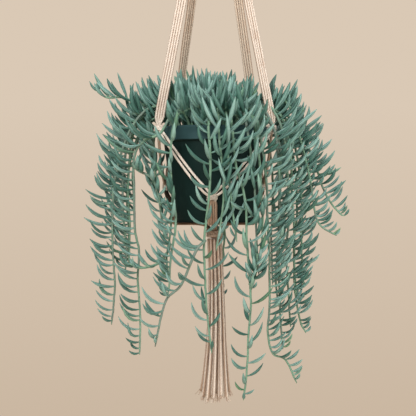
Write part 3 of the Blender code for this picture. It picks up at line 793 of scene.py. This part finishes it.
def make_fray(cotton):
    """Loose threads at the cut ends of the tassel."""
    rng = random.Random(SEED)
    pile = Pile()
    for _, _, end_x, end_y, end_drop in TASSEL:
        end = in_place([(end_x, end_y, end_drop)])[0]
        out = np.array((end_x, end_y, 0.0)) * 0.012
        for _ in range(FRAY_THREADS):
            lean = np.array((rng.gauss(0, 0.22), rng.gauss(0, 0.22), -1.0)) + out
            start = end + np.array((rng.uniform(-1.6, 1.6), rng.uniform(-1.6, 1.6), 3.0)) * MM
            reach = rng.uniform(4, 9) * MM
            bend = np.array((rng.gauss(0, 1.2), rng.gauss(0, 1.2), 0.0)) * MM
            points = smooth([start, start + lean * reach * 0.5, start + lean * reach + bend], 2.5 * MM)
            body, faces, _ = tube(points, rng.uniform(0.2, 0.4) * MM, 5)
            pile.add(body, faces, crest=rng.uniform(0.25, 0.7))
    pile.build("tassel_fray", [cotton], "basket")


def leg_route(azimuth, bend_radius, bend_height, end):
    """The middle line of a leg, from the crown wrap to its rim knot."""
    top_drop = RIM_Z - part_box("crown_wrap")[0].z - 4 * MM
    return [
        around(azimuth, 6.6 * MM, top_drop), around(azimuth, 7.4 * MM, top_drop + 12 * MM),
        around(azimuth, 14 * MM, top_drop + 42 * MM),
        around(azimuth, (bend_radius + 14 * MM) / 2 - 3 * MM, (top_drop + 42 * MM - bend_height) / 2),
        around(azimuth, bend_radius, -bend_height), end,
    ]


def make_legs(cotton, tan):
    """Each leg is four cords that lie two by two at the crown and side by side lower down."""
    for name, (azimuth, bend_radius, bend_height, facing) in LEGS.items():
        route = leg_route(azimuth, bend_radius, bend_height, middle_of("rim_knot_" + name))
        middle = smooth(route, CORD_STEP)
        out = heading(facing)
        side = np.cross(UP, out)
        share = (middle[0, 2] - middle[:, 2]) / (middle[0, 2] - middle[-1, 2])
        flat = np.clip(share / 0.22, 0, 1)
        tuck = np.clip((1 - share) / 0.035, 0.45, 1)
        pile = Pile()
        for number in range(LEG_CORDS):
            across_flat = (number - (LEG_CORDS - 1) / 2) * LEG_SPACING
            across_top = (2.1 if number % 2 else -2.1) * MM
            across = (across_top * (1 - flat) + across_flat * flat) * tuck
            depth_top = (2.0 if number > 1 else -2.0) * MM
            ripple = np.sin(share * (19 + number * 3) + number * 2.2) * 0.5 * MM
            depth = depth_top * (1 - flat) + ripple * flat
            points = middle + side * across[:, None] + out * depth[:, None]
            add_cord(pile, points, turn=number * 1.3, beside=side)
        # the back legs take a copy of the cotton darkened with painted shade
        pile.build("cotton_leg_" + name, [tan if "back" in name else cotton], "basket", ["leg_" + name])


def winding(pile, centre, axis, side, half_width, half_depth, height, turns, phase=0.0, radius=CORD / 2):
    """Cord wound turn beside turn round an oval core."""
    deep = np.cross(axis, side)
    count = max(24, int(turns * 30))
    turn = np.linspace(0, turns * math.tau, count) + phase
    rise = np.linspace(-0.5, 0.5, count) * height
    points = (centre + side * (np.cos(turn) * half_width)[:, None]
              + deep * (np.sin(turn) * half_depth)[:, None] + axis * rise[:, None])
    # painted shade in the valleys between neighbouring turns
    add_cord(pile, points, radius, beside=axis)


def knot(name, node, cotton, facing):
    """A tight knot: three turns round the cords, then one that crosses them on a slant."""
    low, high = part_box(node)
    centre = middle_of(node)
    out = heading(facing)
    side = np.cross(UP, out)
    tall = float(high.z - low.z)
    pile = Pile()
    level, slanted = unit(UP + side * 0.12), unit(UP - side * 0.5)
    winding(pile, centre, level, side, 5.8 * MM, 3.0 * MM, tall * 0.58, 2.9, 0.4, 1.95 * MM)
    winding(pile, centre, slanted, side, 2.4 * MM, 1.0 * MM, tall * 0.5, 2.0, 2.0, 2.0 * MM)
    over = [centre + side * 4.4 * MM - UP * tall * 0.34, centre + out * 4.2 * MM + UP * tall * 0.05,
            centre - side * 4.4 * MM + UP * tall * 0.34]
    add_cord(pile, smooth(over, 1.2 * MM), 1.8 * MM)
    pile.build(name, [cotton], "basket", [node])


def net_route(azimuth, turn, upper, lower):
    """The middle line of a pair of cords: over the pot's wall, down to the lower knot."""
    (upper_radius, upper_drop), (lower_radius, lower_drop) = upper, lower
    side = math.copysign(1.0, turn)
    route = []
    for share in (0.0, 0.12, 0.3, 0.5, 0.7, 0.88, 1.0):
        drop = upper_drop + (lower_drop - upper_drop) * share
        radius = upper_radius + (lower_radius - upper_radius) * share
        radius = max(radius, wall_radius(drop) + CORD / 2 + 0.5 * MM)
        bow = side * (5 * share - 3.4 * (1 - share)) * math.sin(math.pi * share)
        route.append(around(azimuth + turn * (1 - share) + bow, radius, drop))
    return route


def reach_and_drop(node):
    """How far from the pot's axis and how far below the rim the middle of a node is."""
    middle = middle_of(node)
    return float(np.hypot(middle[0], middle[1])), RIM_Z - middle[2]


def make_net(cotton, shaded, deep_shade):
    """The pairs of cords between the knots, and the four cords that run on under the pot."""
    for name, (azimuth, legs) in LOWER_KNOTS.items():
        lower = reach_and_drop("lower_knot_" + name)
        knot("tied_lower_knot_" + name, "lower_knot_" + name, cotton, azimuth)
        for leg in legs:
            turn = (LEGS[leg][0] - azimuth + 180) % 360 - 180
            pile = Pile()
            middle = smooth(net_route(azimuth, turn, reach_and_drop("rim_knot_" + leg), lower), CORD_STEP)
            out = unit(middle * (1, 1, 0))
            beside = unit(np.cross(np.gradient(middle, axis=0), out))
            share = np.linspace(0, 1, len(middle))[:, None]
            apart = np.minimum(1, np.minimum(share, 1 - share) * 7 + 0.3) * NET_SPACING
            for number in (-0.5, 0.5):
                add_cord(pile, middle + beside * apart * number, NET_CORD / 2, number * 3)
            # the side pairs take a copy of the cotton darkened with painted shade
            look = shaded if name in ("left", "right") else cotton
            node = f"net_pair_{name}_{leg}"
            pile.build("cotton_" + node, [look], "basket", [node])
        # the front bundle takes painted shade, the other bundles under the pot a deeper painted shade
        under_bundle(name, azimuth, *lower, shaded if name == "front" else deep_shade)


def under_bundle(name, azimuth, knot_radius, knot_drop, cotton):
    """Four cords from a lower knot, round the pot's foot and in to the gathering wrap."""
    side = np.cross(UP, heading(azimuth))
    bend_drop = knot_drop + 20 * MM
    pile = Pile()
    for number in range(4):
        across = (number - 1.5) * BUNDLE_SPACING
        lift = (0.9 if number % 2 else -0.9) * MM
        route = [
            (knot_radius, knot_drop, 0.3), (knot_radius - 0.5 * MM, knot_drop + 8 * MM, 1),
            (wall_radius(bend_drop) + 5.4 * MM + lift, bend_drop, 1),
            (BASE_RADIUS + 4.0 * MM + lift, POT_HEIGHT - 6 * MM, 1),
            (BASE_RADIUS + 1.6 * MM + lift * 0.7, POT_HEIGHT + 1.6 * MM, 1),
            (BASE_RADIUS - 6 * MM, POT_HEIGHT + 2.2 * MM, 1),
            (BASE_RADIUS / 2, POT_HEIGHT + 2.2 * MM, 0.9),
            (13 * MM, POT_HEIGHT + 3.6 * MM + lift, 0.55), (7 * MM, POT_HEIGHT + 10 * MM + lift, 0.35),
        ]
        route = [around(azimuth, reach, drop) + side * across * width for reach, drop, width in route]
        add_cord(pile, smooth(route, CORD_STEP), turn=number, beside=side)
    pile.build("cotton_under_bundle_" + name, [cotton], "basket", ["under_bundle_" + name])


def make_wraps(cotton):
    """The long wrap under the ring and the short one under the pot."""
    across = np.array((1.0, 0, 0))
    for node, inside in (("crown_wrap", 10.3 * MM), ("gathering_wrap", 9.6 * MM)):
        low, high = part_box(node)
        centre = middle_of(node)
        height = float(high.z - low.z) - CORD
        pile = Pile()
        winding(pile, centre, UP, across, inside, inside, height, height / (CORD * 0.93) + 1)
        core = np.linspace(centre + UP * height * 0.48, centre - UP * height * 0.48, 6)
        # the core inside the turns takes the valley colour: painted shade seen between the turns
        body, faces, crests = tube(core, inside - 1 * MM, 24)
        pile.add(body, faces, crest=crests * 0.2)
        pile.build("wound_" + node, [cotton], "basket", [node])


def make_loops(cotton):
    """Eight cords folded over the ring's wire, in two layers."""
    pivot_z = frame["joints"][0]["pos_m"][2]
    foot_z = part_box("crown_loops")[0].z - 6 * MM
    pile = Pile()
    for layer in range(2):
        reach = 7.3 * MM + layer * 3.5 * MM
        foot = (2.6 + layer * 4.0) * MM
        for number in range(4):
            x = (number - 1.5) * LOOP_SPACING + layer * 1.9 * MM
            arc = [np.array((x, reach * math.cos(turn), pivot_z + reach * math.sin(turn)))
                   for turn in np.linspace(-0.35, math.pi + 0.35, 11)]
            knee_z = foot_z + 6 * MM
            route = [(x * 0.8, foot, foot_z), (x * 0.9, foot + 0.6 * MM, knee_z), *arc,
                     (x * 0.9, -foot - 0.6 * MM, knee_z), (x * 0.8, -foot, foot_z)]
            route = [np.array(point) for point in route]
            add_cord(pile, smooth(route, CORD_STEP), turn=number + layer)
    pile.build("cotton_crown_loops", [cotton], "basket", ["crown_loops"])


def make_ring():
    """Round steel ring with a butt weld at one side."""
    select_none()
    low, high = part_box("hanging_ring")
    wire = (high.x - low.x) / 2
    thick = (high.y - low.y) / 2
    place = ((low.x + high.x) / 2, 0, (low.z + high.z) / 2)
    bpy.ops.mesh.primitive_torus_add(major_segments=112, minor_segments=20, major_radius=wire - thick,
                                     minor_radius=thick, location=place, rotation=(math.pi / 2, 0, 0))
    ring = bpy.context.object
    ring.name = "steel_ring"
    bpy.ops.object.transform_apply(location=True, rotation=True)
    bpy.ops.object.mode_set(mode="EDIT")
    pick(ring, "verts", lambda vert: abs(vert.co.z - place[2]) < 0.5 * MM and vert.co.x > 0)
    bpy.ops.transform.resize(value=(1.12, 1.12, 1.0), center_override=(place[0] + wire - thick, 0, place[2]))
    bpy.ops.object.mode_set(mode="OBJECT")
    bpy.ops.object.shade_smooth()
    ring.data.materials.append(steel_look())
    dress(ring, "ring", ["hanging_ring"])


# ---------------------------------------------------------------- pot and potting mix

def ring_of_edges(name, vertices, radius, z):
    """A circle in edit mode, ready to be extruded into a turned shape."""
    select_none()
    bpy.ops.mesh.primitive_circle_add(vertices=vertices, radius=radius, fill_type="NOTHING",
                                      location=(0, 0, z))
    thing = bpy.context.object
    thing.name = name
    bpy.ops.object.transform_apply(location=True)
    bpy.ops.object.mode_set(mode="EDIT")
    bpy.ops.mesh.select_all(action="SELECT")
    return thing


def pull_ring(radius_from, radius_to, z_from, z_to):
    """Extrude the selected ring to a new radius and height."""
    bpy.ops.mesh.extrude_edges_move(TRANSFORM_OT_translate={"value": (0, 0, z_to - z_from)})
    share = radius_to / radius_from
    bpy.ops.transform.resize(value=(share, share, 1), center_override=(0, 0, z_to))


def make_pot():
    """Tapered pot: rim band with a rolled lip, and a raised base that is left open in its middle."""
    middle = POT_HEIGHT / 2
    under_band = 21.6 * MM
    underside = [(BASE_RADIUS + across * MM, BASE_Z + height * MM) for across, height in (
        (-7.5, 0.8), (-6.5, 0), (-1.8, 0), (-0.4, 0.5), (0, 1.8))]
    outside = [(wall_radius(drop), RIM_Z - drop) for drop in (
        POT_HEIGHT - 30 * MM, middle, 32 * MM, under_band)]
    band = [(RIM_RADIUS - inward * MM, RIM_Z - drop * MM) for inward, drop in (
        (1.0, 20), (0.2, 19.4), (0.5, 12), (0.6, 4.6), (0.1, 3.6), (0, 2.4), (0.1, 0.9), (0.9, 0.1),
        (1.8, 0.3), (2.3, 1.4), (3.4, 17))]
    profile = [
        (BASE_OPENING, BASE_Z + BASE_HOLLOW), (BASE_RADIUS - 9 * MM, BASE_Z + BASE_HOLLOW),
        *underside, *outside, (wall_radius(under_band) + 1.2 * MM, RIM_Z - 20.8 * MM), *band,
        (wall_radius(under_band) - WALL, RIM_Z - 23 * MM), (wall_radius(middle) - WALL, BASE_Z + middle),
        (wall_radius(POT_HEIGHT - BASE_TOP) - WALL, BASE_Z + BASE_TOP + 2 * MM),
        (BASE_RADIUS - 4 * MM, BASE_Z + BASE_TOP), (BASE_OPENING, BASE_Z + BASE_TOP),
    ]
    pot = ring_of_edges("nursery_pot", 120, *profile[0])
    for (radius, z), (next_radius, next_z) in zip(profile, profile[1:]):
        pull_ring(radius, next_radius, z, next_z)
    bpy.ops.mesh.select_all(action="SELECT")
    bpy.ops.mesh.normals_make_consistent(inside=False)
    bpy.ops.object.mode_set(mode="OBJECT")
    bpy.ops.object.shade_smooth_by_angle(angle=math.radians(35))
    pot.data.materials.append(pot_look())
    dress(pot, "basket", ["pot"])


def make_soil():
    """The crumbly top of the potting mix with bark chips and perlite on it."""
    rng = random.Random(SEED + 1)
    low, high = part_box("potting_mix")
    radius = high.x
    select_none()
    bpy.ops.mesh.primitive_cylinder_add(vertices=72, radius=radius, depth=high.z - low.z,
                                        location=(0, 0, (high.z + low.z) / 2))
    soil = bpy.context.object
    soil.name = "potting_mix_top"
    bpy.ops.object.transform_apply(location=True)
    bpy.ops.object.mode_set(mode="EDIT")
    pick(soil, "faces", lambda face: face.normal.z < -0.5)
    share = MIX_FOOT_RADIUS / radius
    bpy.ops.transform.resize(value=(share, share, 1), center_override=(0, 0, low.z))
    pick(soil, "faces", lambda face: face.normal.z > 0.5)
    for _ in range(11):
        bpy.ops.mesh.inset(thickness=5.5 * MM)
    bpy.ops.object.mode_set(mode="OBJECT")
    for vert in soil.data.vertices:
        if vert.co.z > high.z - 1 * MM:
            spread = math.hypot(vert.co.x, vert.co.y) / radius
            vert.co.z += rng.uniform(-1.6, 1.2) * MM - 2.4 * MM * spread ** 3
    bpy.ops.object.shade_smooth_by_angle(angle=math.radians(60))
    soil.data.materials.append(soil_look())
    dress(soil, "basket", ["potting_mix"])
    scatter_bits(rng, radius, high.z)


def lump(rng, size):
    """One chip or grain, knocked out of a ball: its points and faces."""
    select_none()
    bpy.ops.mesh.primitive_ico_sphere_add(subdivisions=2, radius=1.0)
    ball = bpy.context.object
    for vert in ball.data.vertices:
        vert.co *= rng.uniform(0.82, 1.12)
        vert.co = Vector((vert.co.x * size[0], vert.co.y * size[1], vert.co.z * size[2]))
    return lifted(ball)


def scatter_bits(rng, radius, top_z):
    """Chips and grains: two lumps modelled once, then copied over the mix."""
    lumps = [lump(rng, (1.0, 0.62, 0.34)), lump(rng, (1.0, 0.86, 0.8))]
    pile = Pile()
    for number in range(BITS):
        kind = 1 if number % PERLITE_EACH == 0 else 0
        points, faces = lumps[kind]
        scale = rng.uniform(1.6, 3.8) * MM if kind == 0 else rng.uniform(1.0, 1.9) * MM
        turn = rng.uniform(0, math.tau)
        tilt = rng.uniform(-0.5, 0.5)
        cos, sin = math.cos(turn), math.sin(turn)
        spin = np.array(((cos, -sin, 0), (sin, cos, 0), (0, 0, 1)))
        cos, sin = math.cos(tilt), math.sin(tilt)
        lean = np.array(((1, 0, 0), (0, cos, -sin), (0, sin, cos)))
        reach = radius * math.sqrt(rng.random()) * 0.95
        at = rng.uniform(0, math.tau)
        height = top_z + 0.4 * MM - 2.2 * MM * (reach / radius) ** 3
        place = np.array((reach * math.cos(at), reach * math.sin(at), height))
        pile.add(points @ (spin @ lean).T * scale + place, faces, kind)
    looks = [bit_look("bark_chips", (0.035, 0.018, 0.010), (0.16, 0.085, 0.045)),
             bit_look("perlite", (0.50, 0.48, 0.44), (0.80, 0.78, 0.73))]
    pile.build("bark_and_perlite", looks, "basket")


# ---------------------------------------------------------------- the plant

def leaf_shape():
    """A plump pointed spindle one unit long on +Z, shaped ring by ring from a ball."""
    select_none()
    bpy.ops.mesh.primitive_uv_sphere_add(segments=8, ring_count=9, radius=0.5, location=(0, 0, 0.5))
    leaf = bpy.context.object
    bpy.ops.object.transform_apply(location=True)
    heights = sorted({round(vert.co.z, 4) for vert in leaf.data.vertices})
    rings = [[vert.index for vert in leaf.data.vertices if abs(vert.co.z - height) < 1e-3]
             for height in heights]
    bpy.ops.object.mode_set(mode="EDIT")
    for ring, (z, width) in zip(rings, LEAF_OUTLINE):
        pick(leaf, "verts", lambda vert: vert.index in ring)
        shape = bmesh.from_edit_mesh(leaf.data)
        shape.verts.ensure_lookup_table()
        place = shape.verts[ring[0]].co
        spread = math.hypot(place.x, place.y)
        if spread > 1e-4:
            share = width / spread
            bpy.ops.transform.resize(value=(share, share * LEAF_THICKNESS, 1),
                                     center_override=(0, 0, place.z))
        bpy.ops.transform.translate(value=(0, 0, z - place.z))
    bpy.ops.object.mode_set(mode="OBJECT")
    return lifted(leaf)


class Plant:
    """Grows stems and leaves that keep out of each other's way."""

    CELL = 12 * MM

    def __init__(self):
        self.rng = random.Random(SEED + 2)
        self.leaf_points, self.leaf_faces = leaf_shape()
        thick = self.leaf_points[:, 1] / LEAF_THICKNESS
        self.leaf_across = thick / np.maximum(np.hypot(self.leaf_points[:, 0], thick), 1e-4)
        self.taken = {}

    def keep_clear_of(self, points, radius):
        """Remember balls of this radius along a run of points."""
        for point in points:
            cell = tuple(np.floor(point / self.CELL).astype(int))
            self.taken.setdefault(cell, []).append((*point, radius))

    def room_at(self, points, radius):
        """The least gap between a run of points of this radius and everything so far."""
        low = np.floor((points.min(axis=0) - 7 * MM) / self.CELL).astype(int)
        high = np.floor((points.max(axis=0) + 7 * MM) / self.CELL).astype(int)
        near = [ball for x in range(low[0], high[0] + 1) for y in range(low[1], high[1] + 1)
                for z in range(low[2], high[2] + 1) for ball in self.taken.get((x, y, z), ())]
        gap = 1.0
        if near:
            near = np.array(near)
            apart = np.linalg.norm(points[:, None] - near[None, :, :3], axis=2)
            gap = float((apart - near[None, :, 3] - radius).min())
        for x, y, z in points:
            drop = RIM_Z - z
            if -2 * MM < drop < POT_HEIGHT + 6 * MM:
                gap = min(gap, math.hypot(x, y) - wall_radius(max(drop, 0)) - radius - 1 * MM)
        return gap

    def leaf_line(self, base, start, end, length, heights):
        """The middle line of a leaf that sets out one way and ends another."""
        share = np.linspace(0, 1, 25)
        ways = unit(start[None] * (1 - share[:, None]) ** 1.2 + end[None] * share[:, None] ** 0.85)
        steps = (ways[1:] + ways[:-1]) / 2 * (length / 24)
        line = base + np.vstack([np.zeros(3), np.cumsum(steps, axis=0)])
        picked = [np.interp(heights, share, line[:, axis]) for axis in range(3)]
        turned = [np.interp(heights, share, ways[:, axis]) for axis in range(3)]
        return np.stack(picked, axis=1), unit(np.stack(turned, axis=1))

    def add_leaf(self, pile, base, start, end, length, width, youth):
        """One copy of the leaf, bent along its own line."""
        at = self.leaf_points[:, 2]
        line, ways = self.leaf_line(base, start, end, length, at)
        flat = np.cross(start, end)
        if np.linalg.norm(flat) < 1e-3:
            flat = np.cross(start, (0.3, 0.5, 0.2))
        flat = unit(flat + 0.25 * unit(np.cross(end, (0.4, 0.3, 0.9))) * self.rng.uniform(-1, 1))
        inner = np.cross(flat[None], ways)
        points = (line + flat[None] * self.leaf_points[:, :1] * width / 2
                  + inner * self.leaf_points[:, 1:2] * width / 2)
        pile.add(points, self.leaf_faces, 1, along=at, across=self.leaf_across,
                 tone=self.rng.random(), youth=youth)

    def leaf_ways(self, tangent, comb, rise, turn, unruly=0.10):
        """Which way a leaf sets out from the stem and which way it ends up."""
        side = unit(np.cross(tangent, (0.2, 0.1, 0.97)))
        out = side * math.cos(turn) + np.cross(tangent, side) * math.sin(turn)
        out = out * 0.6 + np.array((comb[0], comb[1], 0.0))
        out = unit(out * (1, 0.7, 0.3))
        first = math.radians(-14 + 56 * rise + self.rng.gauss(0, 9))
        last = math.radians(min(60 + 14 * rise + self.rng.gauss(0, 10), 86))
        sway = np.array([self.rng.gauss(0, unruly) for _ in range(3)])
        start = out * math.cos(first) + UP * math.sin(first) + tangent * 0.15 * (1 - min(rise, 1)) + sway
        end = out * math.cos(last) + UP * math.sin(last) + sway
        return unit(start), unit(end)

    def grow(self, pile, route, comb, rise, leaf_length, spacing, thickness=2.05, bare=0.0, crown=False):
        """A stem along a route, with leaves wherever there is room for them."""
        rng = self.rng
        points = smooth(route, 3 * MM)
        wander = np.cumsum([[rng.gauss(0, 0.16), rng.gauss(0, 0.16), 0] for _ in points], axis=0) * MM
        points = points + wander - np.linspace(0, 1, len(points))[:, None] * wander[-1]
        total = length_of(points)
        share = np.linspace(0, 1, len(points))
        radii = thickness * MM * (1.0 - 0.36 * share)
        radii[-3:] *= (0.9, 0.7, 0.4)
        body, faces, _ = tube(points, radii, 8)
        pile.add(body, faces, 0, tone=rng.random(), along=0.0, across=0.0, youth=0.0)
        tangents = unit(np.gradient(points, axis=0))
        travelled = bare * total + spacing * MM * 0.5
        turn = rng.uniform(0, math.tau)
        while travelled < total:
            at = travelled / total
            index = min(int(at * (len(points) - 1)), len(points) - 1)
            point, tangent = points[index], tangents[index]
            drop = RIM_Z - point[2]
            near_top = float(np.clip(1.0 - (drop - 10 * MM) / (110 * MM), 0, 1))
            lift = rise + (1.0 - rise) * float(np.clip((26 * MM - drop) / (50 * MM), 0, 1))
            close = max(0.0, 1.0 - (total - travelled) / (26 * MM))
            taper = 1.0 - 0.25 * max(0.0, (at - 0.75) / 0.25) - 0.36 * close
            if crown:
                lift, near_top = rng.uniform(1.0, 1.3), 1.0
            length = leaf_length * MM * taper * rng.uniform(0.8, 1.12) * (1 + 0.12 * near_top)
            width = (5.7 + 1.0 * near_top) * MM * rng.uniform(0.85, 1.15) * (0.5 + 0.5 * taper)
            youth = 0.6 * rng.random() ** 7 + max(0.0, (at - 0.9)) * 3
            unruly = 0.17 if crown else 0.10 + 0.08 * near_top
            self.place_leaf(pile, point, tangent, comb, lift, turn, length, width, min(youth, 1.0), unruly)
            turn += LEAF_TURN
            travelled += spacing * MM * rng.uniform(0.75, 1.25) * (1.0 - 0.55 * close)
        self.keep_clear_of(points, STEM_ROOM)

    def place_leaf(self, pile, point, tangent, comb, rise, turn, length, width, youth, unruly):
        """Try a few directions and use the first with room; a leaf with none is left out."""
        for attempt in range(6):
            start, end = self.leaf_ways(tangent, comb, rise, turn + attempt * 1.1, unruly)
            line, _ = self.leaf_line(point, start, end, length, np.linspace(0.2, 1, 9))
            if line[-1, 1] > DEEPEST:
                length = max(length - 1.6 * (line[-1, 1] - DEEPEST), length / 2)
                line, _ = self.leaf_line(point, start, end, length, np.linspace(0.2, 1, 9))
            if self.room_at(line, width * LEAF_ROOM) > 0:
                self.add_leaf(pile, point, start, end, length, width, youth)
                self.keep_clear_of(line, width * LEAF_ROOM)
                return


def keep_hanger_clear(plant):
    """Leaves stay out of the legs, the knots and the net, and do not hang in front of the near leg."""
    for name, (azimuth, bend_radius, bend_height, _) in LEGS.items():
        knot_middle = middle_of("rim_knot_" + name)
        route = smooth(leg_route(azimuth, bend_radius, bend_height, knot_middle), 3 * MM)
        if name == "front_left":
            route = np.vstack([route, knot_middle - UP * 3 * MM, knot_middle - UP * 6 * MM])
        for across in (-5, 0, 5):
            for ahead in range(0, 60 if name in ("front_left", "front_right") else 6, 5):
                plant.keep_clear_of(route + np.array((across, -ahead, 0)) * MM, 2.6 * MM)
    for node, thing in frame["nodes"].items():
        if node.startswith(("net_pair", "lower_knot", "rim_knot", "under_bundle")):
            points = np.array([tuple(vert.co) for vert in thing.data.vertices])
            plant.keep_clear_of(points[::3], 1.6 * MM)
    return np.array([ball[:3] for balls in plant.taken.values() for ball in balls])


def crown_shoots(rng):
    """Leaf length and route of each upright shoot: low ones over the rim, short ones on the mix, then
    those that rise from the mix, lean out over the rim and lift again."""
    shoots = []
    for azimuth in RIM_SHOOTS:
        x, y, _ = heading(azimuth)
        shoots.append((RIM_LEAF, [(reach * x, reach * y, drop) for reach, drop in (
            (52, 12), (66, -9), (82, -13), (95, -6))]))
    for number in range(SHORT_SHOOTS):
        x, y, _ = heading(number * SHOOT_TURN + 60) * (16 + 50 * math.sqrt((number + 0.5) / SHORT_SHOOTS))
        shoots.append((SHORT_LEAF, [(x * 0.94, y * 0.94, 14), (x, y, 2), (x * 1.04, y * 1.04, -12)]))
    for number in range(TALL_SHOOTS):
        reach = math.sqrt((number + 0.5) / TALL_SHOOTS)
        x, y, _ = heading(number * SHOOT_TURN)
        wide, deep = (127 if x > 0 else 122) * reach, 92 * reach
        top = 58 - 34 * reach ** 2 + rng.uniform(-11, 11) - 14 * max(0, x) * reach
        foot = 56 * min(reach, 0.95)
        shoots.append((TALL_LEAF, [
            (foot * x * 0.9, foot * y * 0.9, 15), (wide * 0.55 * x, deep * 0.62 * y, -14 - 8 * reach),
            (wide * 0.85 * x, deep * 0.88 * y, -top * 0.62 - 6), (wide * x, deep * y, -top),
        ]))
    return shoots


def make_plant(stem, leaf):
    """Trailing strands first, then the crown fills the space between them."""
    plant = Plant()
    hanger = keep_hanger_clear(plant)
    looks = [stem, leaf]
    for name in ("strand_right", "strand_right_outer"):
        hanging = smooth(in_place(STRANDS[name][0][4]), 4 * MM)
        hanging = hanging[hanging[:, 2] < RIM_Z - 20 * MM]
        for ahead in (8, 14, 20, 26, 32):
            plant.keep_clear_of(hanging - np.array((0, ahead * MM, 0)), 1.2 * MM)
    for name, stems in STRANDS.items():
        pile = Pile()
        for comb, rise, leaf_length, spacing, route in stems:
            plant.grow(pile, in_place(route), comb, rise, leaf_length, spacing, bare=0.06)
        pile.build("trailing_" + name, looks, "basket", [name])
    groups = {"crown_middle": [], "crown_left": [], "crown_right": []}
    for leaf_length, route in crown_shoots(plant.rng):
        above = smooth(in_place(route), 6 * MM)[3:]
        if np.linalg.norm(above[:, None] - hanger[None], axis=2).min() < 4.5 * MM:
            continue
        x = route[-1][0]
        group = "crown_left" if x < -35 else "crown_right" if x > 35 else "crown_middle"
        groups[group].append((leaf_length, route))
    for name, shoots in groups.items():
        pile = Pile()
        for leaf_length, route in shoots:
            x, y, _ = route[-1]
            plant.grow(pile, in_place(route), (x / 150, y / 150), 1, leaf_length, leaf_length / 6.8,
                       thickness=1.5, bare=0.18, crown=True)
        pile.build("leafy_" + name, looks, "basket", [name])


# ---------------------------------------------------------------- everything in order

make_camera()
cotton = cotton_look("cotton_cord", (0.91, 0.82, 0.73), (0.37, 0.235, 0.15))
# a copy of the cotton darkened with painted shade, for the back legs
back_shade_cotton = cotton_look("cotton_cord_tan", (0.80, 0.68, 0.55), (0.28, 0.165, 0.10))
# a darker copy of the cotton with painted shade, for the side net pairs and the front bundle under the pot
painted_shade_cotton = cotton_look("cotton_cord_painted_shade", (0.58, 0.41, 0.29), (0.22, 0.13, 0.08))
# a near-black copy of the cotton with painted shade, for the bundles under the pot at the sides and back
deep_shade_cotton = cotton_look("cotton_cord_deep_shade", (0.10, 0.065, 0.045), (0.035, 0.022, 0.014), 0.02)
make_tassel(cotton)
make_fray(cotton)
make_legs(cotton, back_shade_cotton)
for leg in LEGS:
    knot("tied_rim_knot_" + leg, "rim_knot_" + leg, cotton, LEGS[leg][3])
make_net(cotton, painted_shade_cotton, deep_shade_cotton)
make_wraps(cotton)
make_loops(cotton)
make_ring()
make_pot()
make_soil()
make_plant(stem_look(), leaf_look("succulent_leaf", (0.055, 0.155, 0.125), (0.130, 0.300, 0.250),
                                  (0.290, 0.480, 0.440), (0.210, 0.400, 0.190)))
make_room()
